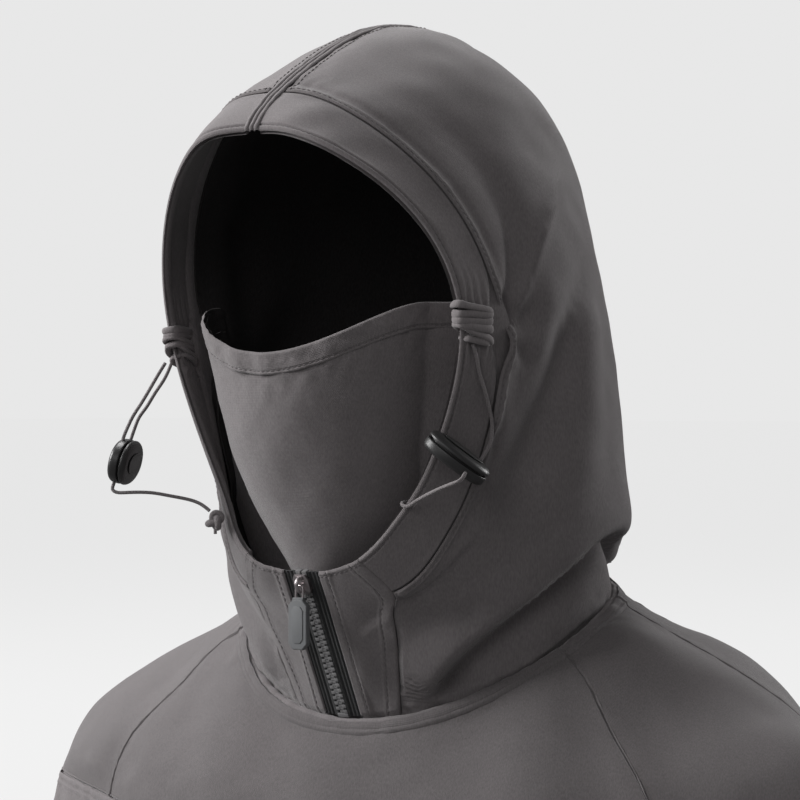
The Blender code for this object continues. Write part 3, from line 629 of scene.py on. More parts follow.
def metal_finish(name, value, roughness):
    made = Finish(name, roughness, metallic=1.0)
    wear = made.noise(240.0, 5.0)
    made.colour(wear, (0.3, shade(value * 0.8)), (0.6, shade(value)), (0.8, shade(value * 1.15)))
    made.vary_roughness(wear, roughness + 0.12, roughness - 0.06)
    made.bump(made.noise(1.0, 2.0, stretch=(300, 2600, 300)), 0.00004, 0.4)
    return made.material


def braid_finish(name, value):
    """Round braided cord: slanting plaits across the length, and lighter fibres."""
    made = Finish(name, 0.78, sheen=0.3, specular=0.3)
    plait = made.node("ShaderNodeTexVoronoi", Scale=1150.0)
    made.link(made.node("ShaderNodeTexCoord").outputs["Object"], plait.inputs["Vector"])
    fibres = made.noise(2600.0, 2.0)
    mixed = made.mathed("ADD", made.mathed("MULTIPLY", plait.outputs["Distance"], -0.35), fibres)
    made.colour(mixed, (0.1, shade(value * 0.72)), (0.5, shade(value * 1.12)))
    made.bump(plait.outputs["Distance"], 0.00035, 0.6)
    return made.material


softshell = cloth_finish("softshell_melange", 0.168)
softshell_band = cloth_finish("softshell_melange_band", 0.178)
# The yoke's cloth is the hood's softshell made darker: painted shade, to dim the yoke, which faces up into
# the lamps.
softshell_yoke_painted_shade = cloth_finish("softshell_melange_yoke_painted_shade", 0.132)
mask_knit = cloth_finish("mask_knit_melange", 0.170, thread=0.0008, fleck=0.18, sheen=0.35)
# The hood lining's own near-black fleece, also used on the mask's inner faces as painted shade.
lining_black = cloth_finish("lining_black", 0.03, thread=0.0009, fleck=0.3, sheen=0.05)
tape_grey = cloth_finish("zip_tape_twill", 0.03, thread=0.00055, fleck=0.2, depth=0.0002, sheen=0.1,
                         tint=(0.97, 0.97, 1.0))
thread_grey = cloth_finish("stitch_thread", 0.145, thread=0.0003, fleck=0.25)
wrap_grey = cloth_finish("wrap_cord_melange", 0.19, thread=0.0005, fleck=0.14)
cord_grey = braid_finish("braided_cord", 0.22)
teeth_grey = moulded_finish("zip_teeth_plastic", 0.19, 0.42)
tab_rubber = moulded_finish("pull_tab_rubber", 0.135, 0.55, tint=(0.96, 0.99, 1.03))
lock_black = moulded_finish("lock_plastic", 0.026, 0.42)
slider_metal = metal_finish("slider_metal", 0.42, 0.38)
spring_steel = metal_finish("spring_steel", 0.5, 0.3)


# ---------------------------------------------------------------- camera, light and floor


def to_scene(point):
    return (Vector(point) + NECK_SEAM_FRONT) * MM


def make_camera():
    data = bpy.data.cameras.new("camera")
    data.lens, data.sensor_width, data.clip_start, data.clip_end = CAMERA_LENS, CAMERA_SENSOR, 0.05, 60.0
    camera = bpy.data.objects.new("camera", data)
    away = Vector((math.sin(CAMERA_AZIMUTH), -math.cos(CAMERA_AZIMUTH), 0.0))
    camera.location = to_scene(CAMERA_AIM + CAMERA_DISTANCE * away)
    camera.rotation_euler = (math.radians(90.0), 0.0, CAMERA_AZIMUTH)
    bpy.context.scene.collection.objects.link(camera)
    bpy.context.scene.camera = camera


def make_light(name, direction, distance, size, watts):
    data = bpy.data.lights.new(name, "AREA")
    data.shape, data.size, data.energy = "DISK", size, watts
    lamp = bpy.data.objects.new(name, data)
    direction = Vector(direction).normalized()
    lamp.location = to_scene(LIGHTS_AIM) + direction * distance
    lamp.rotation_euler = direction.to_track_quat("Z", "Y").to_euler()
    bpy.context.scene.collection.objects.link(lamp)


BACKDROP, SKY_LIGHT = 0.806, 0.2  # strengths of the backdrop and of the light from all round
FLOOR_SIZE, FLOOR_DROP = 24.0, 0.0006  # metres
FLOOR_SHADOW = 0.06  # how much of the lamps' light the floor gives back, which is how shadows show on it
FLOOR_TONE, FLOOR_GLOW = 0.973, 0.55  # the floor's strength as seen, to BACKDROP, and as light, to SKY_LIGHT


def add_node(tree, kind, **values):
    made = tree.nodes.new(kind)
    for name, value in values.items():
        made.inputs[name].default_value = value
    return made


def split_by_camera(tree, unseen, seen):
    """One shader where the camera looks, and another for the light it gives."""
    rays, mix = add_node(tree, "ShaderNodeLightPath"), add_node(tree, "ShaderNodeMixShader")
    tree.links.new(rays.outputs["Is Camera Ray"], mix.inputs[0])
    tree.links.new(unseen.outputs[0], mix.inputs[1])
    tree.links.new(seen.outputs[0], mix.inputs[2])
    return mix.outputs[0]


def make_world():
    """Even light from all round, and a paler backdrop where the camera sees past the object."""
    world = bpy.data.worlds.new("studio")
    world.use_nodes = True
    tree = world.node_tree
    white = (1, 1, 1, 1)
    sky = tree.nodes["Background"]
    sky.inputs["Color"].default_value, sky.inputs["Strength"].default_value = white, SKY_LIGHT
    backdrop = add_node(tree, "ShaderNodeBackground", Color=white, Strength=BACKDROP)
    tree.links.new(split_by_camera(tree, sky, backdrop), tree.nodes["World Output"].inputs["Surface"])
    bpy.context.scene.world = world


def make_floor():
    """A pale floor of the backdrop's own tone, which takes a faint shadow."""
    mesh = bpy.data.meshes.new("floor")
    corners = [(-1, -1), (1, -1), (1, 1), (-1, 1)]
    mesh.from_pydata([(x * FLOOR_SIZE, y * FLOOR_SIZE, -FLOOR_DROP) for x, y in corners], [], [(0, 1, 2, 3)])
    made = bpy.data.materials.new("pale_floor")
    made.use_nodes = True
    tree = made.node_tree
    tree.nodes.remove(tree.nodes["Principled BSDF"])
    glow = add_node(tree, "ShaderNodeEmission", Strength=SKY_LIGHT * FLOOR_GLOW)
    tone = add_node(tree, "ShaderNodeEmission", Strength=BACKDROP * FLOOR_TONE)
    matt = add_node(tree, "ShaderNodeBsdfDiffuse", Color=(FLOOR_SHADOW, FLOOR_SHADOW, FLOOR_SHADOW, 1))
    both = add_node(tree, "ShaderNodeAddShader")
    tree.links.new(split_by_camera(tree, glow, tone), both.inputs[0])
    tree.links.new(matt.outputs[0], both.inputs[1])
    tree.links.new(both.outputs[0], tree.nodes["Material Output"].inputs["Surface"])
    mesh.materials.append(made)
    floor = bpy.data.objects.new("floor", mesh)
    bpy.context.scene.collection.objects.link(floor)


make_camera()


# ---------------------------------------------------------------- cords, knots and wraps


def trefoil(size):
    turn = np.linspace(0, 2 * np.pi, 90, endpoint=False)
    return size * np.stack([np.sin(turn) + 2 * np.sin(2 * turn), np.cos(turn) - 2 * np.cos(2 * turn),
                            -1.1 * np.sin(3 * turn)], -1)


def make_knot(side, tilt, tail):
    """A pulled-tight overhand knot at a cord's end, with the cut end sticking out."""
    turned = np.array(Matrix.Rotation(tilt[0], 3, "X") @ Matrix.Rotation(tilt[1], 3, "Z"))
    path = trefoil(KNOT_SIZE) @ turned.T + np.array(KNOTS[side])
    end = spline([KNOTS[side], np.add(KNOTS[side], np.multiply(tail, 0.55)), np.add(KNOTS[side], tail)],
                 np.linspace(0, 2, 12))
    parts = joined([tube_parts(path, CORD_DIAMETER * 0.95, closed=True),
                    tube_parts(end, CORD_DIAMETER * 0.46)])
    knot = outward(new_object(f"cord_end_knot_{side}", *parts, cord_grey, "cord"))
    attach(knot, "hood")
    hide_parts(f"{side}_cord_knot")
    return knot


def make_cord(name, body, with_pieces=()):
    route = CORDS[name]
    path = smooth_path(route, 0.7 * CORD_DIAMETER)
    curve = bpy.data.curves.new(f"{name}_cord", "CURVE")
    curve.dimensions, curve.bevel_depth = "3D", MM * CORD_DIAMETER / 2
    curve.bevel_resolution, curve.use_fill_caps = 4, True
    line = curve.splines.new("POLY")
    line.points.add(len(path) - 1)
    for point, place in zip(line.points, to_frame(path)):
        point.co = (*place, 1.0)
    curve.materials.append(cord_grey)
    piece = bpy.data.objects.new(f"{name}_braided", curve)
    bpy.context.scene.collection.objects.link(piece)
    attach(piece, body)
    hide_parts(name)


make_cord("drawcord_left", "hood", [make_knot("left", (0.5, 0.4), (2.5, -2.5, -5.5))])
make_cord("drawcord_right", "hood", [make_knot("right", (1.1, 0.9), (1.0, -1.0, -6.5))])
make_cord("drawcord_right_second_strand", "hood")


def pinched(across, side):
    """How far the cord wrap pulls in the band's seam, at places across."""
    return PINCH * hump(across - WRAP_AT[side], 0.2)


def band_end(across, side):
    return BAND_END - pinched(across, side)


def make_wrap(side, mirror):
    """Turns of flat cord pulled tight round the brim band, the last ones slipping down to a point."""
    rng = np.random.default_rng(11 if mirror else 5)
    parts = []
    for turn in range(WRAP_TURNS):
        station = -1 + 2 * (turn + 0.5) / WRAP_TURNS
        slant = rng.uniform(-0.16, 0.16) + (0.3 if turn == WRAP_TURNS - 2 else 0.0)
        round_band = np.linspace(0, 2 * np.pi, 44, endpoint=False)
        leaning = slant * np.cos(round_band + rng.uniform(-0.4, 0.4))
        across = WRAP_AT[side] + WRAP_HALF_LENGTH * (station + leaning)
        end = band_end(across, side)
        edge, far = net_point(HOOD_NET, across, 0 * across), net_point(HOOD_NET, across, end)
        normal = net_normal(HOOD_NET, across, end / 2)
        width = far - edge
        half_width = np.linalg.norm(width, axis=-1, keepdims=True) / 2
        tight = 1.0 - 0.08 * abs(station) ** 2 - 0.5 * ramp(station, 0.15, 1.0)
        wide, high = (np.sign(f(round_band)) * np.abs(f(round_band)) ** 0.55 for f in (np.cos, np.sin))
        centre = (edge + far) / 2 - normal * (BAND_THICKNESS / 2 - 0.6)
        path = (centre + width / (2 * half_width) * (wide[:, None] * (half_width * tight + 1.5))
                + normal * high[:, None] * (BAND_THICKNESS / 2 + 2.0 + rng.uniform(0, 0.5)))
        ends = net_point(HOOD_NET, [WRAP_AT[side] - 0.05, WRAP_AT[side] + 0.05], 0.4)
        along_band = unit(ends[1] - ends[0])
        if mirror:
            path, along_band = path * (-1, 1, 1), along_band * (-1, 1, 1)
        thick = WRAP_CORD + 0.25 * np.sin(round_band * 2 + rng.uniform(0, 6.3))
        parts.append(tube_parts(path, thick, sides=14, closed=True, flat=0.62, up=along_band))
    wrap = outward(new_object(f"gather_wrap_{side}", *joined(parts), wrap_grey, "cord"))
    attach(wrap, "hood")
    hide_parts(f"cord_wrap_{side}")


make_wrap("left", False)
make_wrap("right", True)


# ---------------------------------------------------------------- the hood


def sheet_on(net, across, along):
    return Sheet(net_point(net, across, along), net_normal(net, across, along), across, along)


def net_sheet(across_at, along_at, across_shares, along_shares):
    """A sheet of the hood, between lines given by share and by place, as in the CAD part."""
    shares_down, shares_on = np.meshgrid(across_shares, along_shares, indexing="ij")
    rough = across_at(shares_down, np.full_like(shares_on, 2.5))
    along = along_at(shares_on, rough)
    across = across_at(shares_down, along)
    return sheet_on(HOOD_NET, across, along)


def crease(distance, rise, drop, rise_width, drop_width, soft):
    """A fold's lip: a rise on the positive side of a line and a hollow on the other."""
    over = 1 / (1 + np.exp(np.clip(-distance / soft, -30, 30)))
    return over * rise * hump(distance, rise_width) - (1 - over) * drop * hump(distance, drop_width)


def faded(share, start=0.12, end=0.12):
    return ramp(share, 0, start) * ramp(1 - share, 0, end)


def along_fold(sheet, places, start, end):
    """Distance from a fold's line through places on the hood's net, and how strong the fold is there."""
    at = spline(places, np.linspace(0, len(places) - 1, 70))
    distance, share = sheet.apart(net_point(HOOD_NET, at[:, 0], at[:, 1]))
    return distance, faded(share, start, end)


NECK_HIDDEN = 7.97  # the panels' lower edges lie inside the piping
NECK_SINK = 1.6  # how far the panels dip beside it

# Folds over the wearer's left half of the hood, as places across and along its ribs
OVERHANG = [(1.1, 7.45), (1.8, 7.3), (2.4, 6.8), (3.0, 6.0), (3.5, 5.3), (3.98, 4.96), (4.4, 5.15),
            (4.84, 5.66), (5.17, 6.1), (5.42, 6.8), (5.45, 7.75)]
RIDGE = [(1.59, 3.63), (1.9, 3.04), (2.45, 2.12), (2.79, 1.66), (3.08, 1.33), (3.4, 1.19), (3.71, 1.13)]
VALLEY = [(1.68, 4.41), (2.65, 3.15), (3.1, 2.76), (3.44, 2.45), (3.89, 2.21), (4.3, 2.3)]
SWELL = [(2.3, 3.5), (2.56, 3.67), (2.92, 3.82), (3.24, 3.97), (3.7, 4.1)]
BAND_VALLEY = [(1.1, 1.55), (1.6, 1.75), (2.1, 1.85), (2.55, 1.85), (2.95, 1.8), (3.3, 1.6), (3.6, 1.5)]
WRAP_PLEAT = [(2.07, 1.86), (2.35, 1.7), (2.6, 1.5), (2.8, 1.3), (2.95, 1.22)]
CORNER_CREASE = [(5.97, 1.0), (5.82, 1.6), (5.34, 1.81), (4.79, 1.86), (4.4, 1.75)]
LOWER_FOLD = [(5.9, 2.6), (5.6, 3.4), (5.2, 4.3), (4.9, 4.9)]

# Soft folds: places, height, width, and the shares of the line over which each end fades
SOFT_FOLDS = [
    (VALLEY, -8.0, 10, 0.3, 0.3), (BAND_VALLEY, -4.5, 9.5, 0.35, 0.3), (SWELL, 4.0, 13, 0.3, 0.3),
    (WRAP_PLEAT, -2.2, 3.0, 0.3, 0.05), (LOWER_FOLD, -1.6, 6, 0.3, 0.2),
]
# Where the lining drops to clear the shell's folds: places, depth, width, and the fading ends
LINING_FOLDS = [
    (OVERHANG, 7.0, 20, 0.2, 0.05), (VALLEY, 10.0, 17, 0.2, 0.2), (BAND_VALLEY, 7.5, 17, 0.2, 0.2),
]
UNDER_FOLD = (2.35, 7.1)  # the hollow under the overhang's back end


def fullness(sheet, mirror):
    """How far the hood stands out beyond its ribs, where the cloth is full."""
    s, t = sheet.across, sheet.along
    if mirror:
        return 4.0 * hump(s - 0.75, 0.45) * hump(t - 1.2, 1.4)
    return 3.5 * hump(s - 1.15, 0.4) * hump(t - 3.9, 0.8) - 2.0 * hump(s - 0.55, 0.25) * hump(t - 3.4, 0.6)


def from_place(sheet, across, along):
    return np.linalg.norm(sheet.base - net_point(HOOD_NET, across, along), axis=-1)


def from_wrap_hollow(sheet, side):
    return from_place(sheet, WRAP_AT[side] - 0.10, PANEL_START + 0.42)


def down_to_princess(half_width, end=PRINCESS):
    """Places across, by share, from a line beside the crown's middle down to the princess seam."""
    top_line = line_at_x(half_width, 0, 1)

    def across_at(share, along):
        top = top_line(along)
        return top + share * (end - top)

    return across_at


def hood_side(side, mirror, seed):
    def along_at(share, across):
        start = PANEL_START - 0.02 + pinched(across, side)
        return start + share * (NECK_HIDDEN - start)

    step = 3.0 if mirror else 2.2
    across_at = down_to_princess(STRIP_HALF_WIDTH + 0.1)
    sheet = net_sheet(across_at, along_at, shares(330, 0.7, step, 5), shares(235, 0.6, step, 6))
    s, seam_gap = sheet.across, sheet.front_edge
    fade_edges = ramp(seam_gap, 0, 9) * ramp(sheet.back_edge, 0, 14) * ramp(sheet.start_side, 0, 12)
    relief = fullness(sheet, mirror) + 0.6 * ripple(sheet.base, 70, seed) * fade_edges
    relief += 0.18 * ripple(sheet.base, 24, seed + 1) * fade_edges
    relief -= 9.0 * hump(from_place(sheet, *UNDER_FOLD), 15)

    distance, strength = along_fold(sheet, OVERHANG, 0.25, 0.12)
    folds = crease(-distance, 7.0, 7.5, 22, 11, 1.2) * strength
    distance, strength = along_fold(sheet, RIDGE, 0.2, 0.12)
    folds += (2.6 * np.exp(-np.abs(distance) / 1.6) + 1.6 * hump(distance, 5)) * strength
    distance, strength = along_fold(sheet, CORNER_CREASE, 0.05, 0.4)
    folds += crease(distance, 1.2, 1.4, 7, 6, 0.9) * strength
    for places, height, width, start, end in SOFT_FOLDS:
        distance, strength = along_fold(sheet, places, start, end)
        folds += height * hump(distance, width) * strength
    folds *= MIRRORED_FOLDS if mirror else 1.0
    flat_edge = 22 if mirror else 4
    relief += folds * ramp(sheet.end_side, 0, flat_edge) * ramp(sheet.back_edge, 0, 10)

    # the hollow behind the wrap, with pleats running out of it
    from_wrap = from_wrap_hollow(sheet, side)
    relief -= 6.5 * hump(from_wrap, 9.5)
    bearing = np.arctan2((s - WRAP_AT[side]) * 60, (sheet.along - PANEL_START) * 25)
    relief += 0.9 * np.cos(bearing * 9) * hump(from_wrap - 16, 11) * ramp(seam_gap, 1, 6)

    # seams: the felled edge along the band is raised, and pulls small puckers
    pucker = ripple(sheet.base, 7.5, seed + 2)
    relief += 0.55 * (1 - ramp(seam_gap, 3.4, 4.3)) + edge_roll(seam_gap, 1.0)
    relief += 0.22 * pucker * np.exp(-seam_gap / 7) * ramp(seam_gap, 0.5, 3)
    for gap, radius, depth in ((sheet.start_side, 1.2, 0.25), (sheet.end_side, 1.1, 0.2)):
        relief += edge_roll(gap, radius) + depth * pucker * np.exp(-gap / 6)
    relief += 0.45 * pucker * np.exp(-sheet.back_edge / 8)
    relief -= NECK_SINK * (1 - ramp(sheet.back_edge, 1, 7))
    relief -= 0.3 * hump(seam_gap - 2.0, 0.5) + 0.7 * hump(seam_gap - 6.6, 2.2)
    sheet.shape(relief, mirror)
    rows = [sheet.line(sheet.front_edge, 2.0), sheet.line(sheet.start_side, 3.2, rows=False)]
    stitching(f"hood_side_stitches_{side}", rows)
    piece = sheet.build(f"hood_shell_{side}", softshell, "softshell", "hood", FABRIC, f"hood_side_{side}")


def hood_lining(side, mirror, seed):
    def along_at(share, across):
        start = PANEL_START + 0.06 + pinched(across, side)
        return start + share * (NECK_HIDDEN - 0.3 - start)

    across_at = down_to_princess(0.1, PRINCESS - 0.02)
    sheet = net_sheet(across_at, along_at, np.linspace(0, 1, 60), np.linspace(0, 1, 44))
    hollow = hump(from_wrap_hollow(sheet, side), 14) + 1.8 * hump(from_place(sheet, *UNDER_FOLD), 24)
    deep = 6.5 * hollow
    for places, depth, width, start, end in LINING_FOLDS:
        distance, strength = along_fold(sheet, places, start, end)
        deep += depth * hump(distance, width) * strength
    deep *= MIRRORED_FOLDS if mirror else 1.0
    relief = -LINING_DEPTH - 0.6 + 0.4 * ripple(sheet.base, 45, seed) - deep
    sheet.shape(relief, mirror)
    piece = sheet.build(f"lining_{side}", lining_black, "lining", "hood", LINING_THICKNESS,
                        f"hood_lining_{side}")


def brim_band(side, mirror, seed):
    def along_at(share, across):
        return share * (PANEL_START + 0.12 + pinched(across, side))

    across_at = down_to_princess(STRIP_HALF_WIDTH + 0.1)
    sheet = net_sheet(across_at, along_at, shares(340, 0.7, 1.5, 6), shares(25, 0.3, 0.75, 3.5))
    edge = sheet.front_edge
    ends = band_end(sheet.across[:, 0], side)
    seam_run = [np.interp(end, places, run) for end, places, run in zip(ends, sheet.along, edge)]
    seam = np.array(seam_run)[:, None] - edge
    away = np.abs(sheet.across - WRAP_AT[side])
    relief = fullness(sheet, mirror) + edge_roll(edge, 1.9) - 1.7 * (1 - ramp(seam, -0.6, 0.9))
    relief -= 2.5 * hump(away, 0.16) * (1 - ramp(seam, -2.5, 0))
    relief -= 0.75 * hump(edge - 2.8, 0.55)
    relief += 0.3 * ripple(sheet.base, 28, seed) * ramp(edge, 1, 6) * ramp(seam, 0, 4)
    pleats = np.cos(2 * np.pi * sheet.run_along / 4.3 + 1.2 * ripple(sheet.base, 20, seed + 2))
    relief += 0.55 * pleats * hump(away, 0.27) * ramp(edge, 0.5, 3) * ramp(seam, 0, 2)
    sheet.shape(relief, mirror)
    thin = edge_thinning(edge, 1.75, 1.9)
    stitching(f"brim_stitches_{side}", [sheet.line(edge, 2.8)])
    piece = sheet.build(f"brim_{side}", softshell_band, "softshell", "hood", BAND_THICKNESS - thin,
                        f"brim_band_{side}")


def collar_front(side, mirror, seed):
    tape_line = line_at_x(TAPE_EDGE - 1.6, PRINCESS, ZIP)

    def across_at(share, along):
        return PRINCESS + share * (tape_line(along) - PRINCESS)

    def along_at(share, across):
        return share * NECK_HIDDEN

    sheet = net_sheet(across_at, along_at, shares(27, 0.45, 1.1, 3), shares(92, 0.4, 1.3, 3.5))
    edge, seam, placket = sheet.front_edge, sheet.start_side, sheet.end_side
    open_cloth = ramp(seam, 1, 9) * ramp(placket, 5, 9)
    relief = edge_roll(edge, 1.5) + edge_roll(seam, 1.2) + edge_roll(placket, 0.9)
    for gap, place, depth in ((seam, 7.0, 0.4), (edge, 2.6, 0.35), (placket, 5.2, 0.4)):
        relief -= depth * hump(gap - place, 0.5)
    relief += 0.5 * (1 - ramp(placket, 6.8, 7.8)) + 0.3 * (1 - ramp(seam, 8.2, 9.0))
    relief += 0.45 * ripple(sheet.base, 34, seed) * open_cloth
    relief += 0.12 * ripple(sheet.base, 8, seed + 1) * (np.exp(-seam / 3) + np.exp(-edge / 4))
    tuck = [(PRINCESS + 0.05, 2.2), (PRINCESS + 0.3, 2.6), (PRINCESS + 0.45, 3.2)]
    distance, strength = along_fold(sheet, tuck, 0.3, 0.3)
    relief += (0.2 if mirror else 0.7) * crease(distance, 1.0, 1.0, 4, 4, 1.2) * strength
    relief -= NECK_SINK * (1 - ramp(sheet.back_edge, 1, 6))
    sheet.shape(relief, mirror)
    rows = [sheet.line(edge, 2.6)]
    rows += [sheet.line(seam, 7.0, rows=False), sheet.line(placket, 5.2, rows=False)]
    stitching(f"collar_stitches_{side}", rows)
    piece = sheet.build(f"collar_{side}", softshell, "softshell", "hood", COLLAR_THICKNESS,
                        f"collar_front_{side}")


def crown_strip():
    strip_line = line_at_x(STRIP_HALF_WIDTH + 0.3, 0, 1)

    def across_at(share, along):
        return (2 * share - 1) * strip_line(along)

    def along_at(share, across):
        return share * NECK_HIDDEN

    sheet = net_sheet(across_at, along_at, np.linspace(0, 1, 29), shares(430, 0.5, 2.0, 4))
    from_middle = np.abs(sheet.run_across - sheet.run_across[-1] / 2)
    relief = 0.9 - 0.9 * hump(from_middle - 1.6, 0.5) + 0.15 * np.cos(from_middle * 2)
    relief += edge_roll(sheet.start_side, 0.9) + edge_roll(sheet.end_side, 0.9)
    relief += edge_roll(sheet.front_edge, 1.8) + 0.12 * ripple(sheet.base, 8, 41)
    sheet.shape(relief)
    rows = [sheet.line(gap, 3.1, rows=False) for gap in (sheet.start_side, sheet.end_side)]
    rows = [(points, normals, 2.0, 0.8, 0.24, 0.0) for points, normals in rows]
    stitching("crown_stitches", rows)
    piece = sheet.build("crown_seam_tape", softshell_band, "softshell", "hood", STRIP_THICKNESS,
                        "crown_strip")


for side, mirror, seed in (("left", False, 100), ("right", True, 200)):
    hood_side(side, mirror, seed)
    hood_lining(side, mirror, seed + 10)
    brim_band(side, mirror, seed + 20)
    collar_front(side, mirror, seed + 30)
crown_strip()


# ---------------------------------------------------------------- the mask


def mask_surface(share, height_share):
    share, height_share = np.meshgrid(share, height_share, indexing="ij")
    angle = np.minimum(np.abs(share) / MASK_CURVED, 1.0) * np.pi / 2
    flare = np.maximum(np.abs(share) - MASK_CURVED, 0.0) / (1 - MASK_CURVED)
    low = MASK_LEVELS[0][0]
    top = MASK_TOP + MASK_TOP_RISE * np.sin(angle) ** 2
    top = top - MASK_FLARE_DROP * ramp(flare, 0, 0.6) * (share < 0)
    height = low + height_share * (top - low)
    heights = [level[0] for level in MASK_LEVELS]
    levels = spline(MASK_LEVELS, np.interp(height, heights, range(len(heights))))
    _, front, width, depth, side_x, side_y = np.moveaxis(levels, -1, 0)
    x, y = width * np.sin(angle), front + depth * (1 - np.cos(angle))
    x, y = x + flare * (side_x - x), y + flare * (side_y - y)
    return np.stack([np.sign(share) * x, y, height], -1)


def mask_sheet(share, height_share):
    base = mask_surface(share, height_share)
    side, up = np.gradient(base, axis=0), np.gradient(base, axis=1)
    return Sheet(base, unit(np.cross(side, up)))


def make_mask():
    hem_share = 1 - MASK_HEM / (MASK_TOP - MASK_LEVELS[0][0])
    across = 2 * shares(270, 0.8, 1.9, 4) - 1
    sheet = mask_sheet(across, np.linspace(0, hem_share + 0.004, 84))
    base = sheet.base
    inner = ramp(sheet.start_side, 0, 14) * ramp(sheet.end_side, 0, 14)
    relief = 0.7 * ripple(base * (1.0, 1.0, 0.55), 55, 300) * inner + 0.12 * ripple(base, 18, 301) * inner
    for corner, aim in (((84, -40, 196), (30, -60, 150)), ((-84, -40, 196), (-28, -60, 160)),
                        ((80, -38, 190), (50, -48, 110)), ((-80, -38, 190), (-40, -52, 120))):
        line = spline([corner, (np.add(corner, aim) / 2) + (0, -9, 0), aim], np.linspace(0, 2, 40))
        distance, share = sheet.apart(line)
        relief += 0.8 * hump(distance, 8) * faded(share, 0.1, 0.6)
    relief += 0.25 * ripple(base, 8, 302) * np.exp(-sheet.back_edge / 9)
    relief -= 0.5 * hump(sheet.back_edge, 1.2)
    sheet.shape(relief)
    # The mask's inner faces are near-black: painted shade, for the shadow inside the hood.
    mask = sheet.build("mask_panel", mask_knit, "mask_knit", "mask", FABRIC, "face_mask",
                       inside=lining_black)

    sheet = mask_sheet(across, hem_share + (1 - hem_share) * shares(11, 0.35, 0.8, 2))
    top, seam = sheet.back_edge, sheet.front_edge
    relief = 0.75 + edge_roll(top, 1.6) + edge_roll(seam, 1.1) - 0.5 * hump(seam - 1.9, 0.45)
    relief += 0.3 * ripple(sheet.base, 18, 310) + 0.14 * ripple(sheet.base, 6, 311)
    sheet.shape(relief)
    thin = edge_thinning(top, 1.5, 1.7)
    stitching("mask_hem_stitches", [sheet.line(seam, 1.9)], "mask_knit", "mask")
    # The hem's inner faces are near-black too: painted shade.
    hem = sheet.build("mask_top_hem", mask_knit, "mask_knit", "mask", MASK_HEM_THICKNESS - thin, "mask_hem",
                      inside=lining_black)


make_mask()


# ---------------------------------------------------------------- the yoke


def neck_piping():
    centre = neck_seam(np.linspace(0, 360, 520, endpoint=False))
    radius = PIPING_RADIUS + 0.16 * ripple(centre, 9, 401) + 0.12 * ripple(centre, 31, 402)
    tube = tube_parts(centre, radius, sides=16, closed=True)
    piping = outward(new_object("neck_seam_piping", *tube, softshell_band, "softshell"))
    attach(piping, "hood")
    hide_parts("neck_piping")


SEAM_LAP = 0.014  # how far neighbouring yoke panels meet past their seam, so no light shows through


def yoke_panel(name, low, high, mirror, flat, area, seed):
    low, high = low - SEAM_LAP, high + SEAM_LAP
    across = low + (high - low) * shares(40 * (high - low), 0.5, 2.3, 4)
    along = 0.03 + (HEM - HEM_BAND_SHARE + 0.01 - 0.03) * shares(105, 0.6, 2.6, 5)
    across, along = np.meshgrid(across, along, indexing="ij")
    sheet = sheet_on(YOKE_NET, across, along)
    inner = ramp(sheet.front_edge, 0, 12) * ramp(sheet.back_edge, 0, 14)
    inner = inner * ramp(sheet.start_side, 0, 25) * ramp(sheet.end_side, 0, 25)
    relief = 1.2 * ripple(sheet.base * (1.0, 1.0, 0.4), 75, seed) * inner
    relief += 0.12 * ripple(sheet.base, 20, seed + 1) * inner
    for gap in (sheet.start_side, sheet.end_side):
        relief += edge_roll(gap, 1.1) + 0.2 * ripple(sheet.base, 7, seed + 2) * np.exp(-gap / 5)
    relief += 0.3 * ripple(sheet.base, 8, seed + 3) * np.exp(-sheet.front_edge / 8)
    relief -= NECK_SINK * (1 - ramp(sheet.front_edge, 1.5, 6)) + 0.9 * hump(sheet.front_edge - 4.6, 0.6)
    relief += edge_roll(sheet.back_edge, 0.9)
    sheet.shape(relief, mirror)
    rows = [sheet.line(sheet.front_edge, 4.6)]
    rows += [sheet.line(gap, 2.6, rows=False) for gap in (sheet.start_side, sheet.end_side)]
    stitching(f"{name}_stitches", rows)
    piece = sheet.build(f"{name}_cloth", softshell_yoke_painted_shade, "softshell", "hood", FABRIC, name)


def hem_band():
    across = np.linspace(0, YOKE_ROUND, 421)
    along = (HEM - HEM_BAND_SHARE) + HEM_BAND_SHARE * shares(18, 0.5, 1.2, 3)
    across, along = np.meshgrid(across, along, indexing="ij")
    sheet = sheet_on(YOKE_NET, across, along)
    top, bottom = sheet.front_edge, sheet.back_edge
    around = ripple(sheet.base * (1, 1, 0), 14, 501)
    relief = 0.5 + edge_roll(top, 1.2) - 0.35 * hump(top - 2.4, 0.5) - 0.35 * hump(top - 6.4, 0.5)
    relief += 0.25 * around
    sheet.shape(relief)
    sheet.face[-1], sheet.normal[-1] = sheet.face[0], sheet.normal[0]
    sheet.face[:, :, 2] = np.maximum(sheet.face[:, :, 2], -NECK_SEAM_FRONT.z)
    rows = [sheet.line(top, 2.4), sheet.line(top, 6.4)]
    stitching("hem_stitches", rows)
    flat_foot = sheet.normal * (1, 1, 0)
    sheet.normal = unit(np.where((bottom < 4)[..., None], flat_foot, sheet.normal))
    piece = sheet.build("hem_fold", softshell_band, "softshell", "hood", HEM_THICKNESS, "hem_band")


YOKE_PANELS = {
    "yoke_front": (-RAGLAN_FRONT, RAGLAN_FRONT, False, (0.376, 0.13), 0.0282),
    "yoke_back": (RAGLAN_BACK, YOKE_ROUND - RAGLAN_BACK, False, (0.335, 0.172), 0.0394),
    "sleeve_front_left": (RAGLAN_FRONT, SHOULDER, False, (0.122, 0.193), 0.0146),
    "sleeve_front_right": (RAGLAN_FRONT, SHOULDER, True, (0.122, 0.193), 0.0146),
    "sleeve_back_left": (SHOULDER, RAGLAN_BACK, False, (0.119, 0.19), 0.0145),
    "sleeve_back_right": (SHOULDER, RAGLAN_BACK, True, (0.119, 0.19), 0.0145),
}
for number, (name, cut) in enumerate(YOKE_PANELS.items()):
    yoke_panel(name, *cut, 600 + 10 * number)
hem_band()
neck_piping()


# ---------------------------------------------------------------- the zip, in its chain's own frame

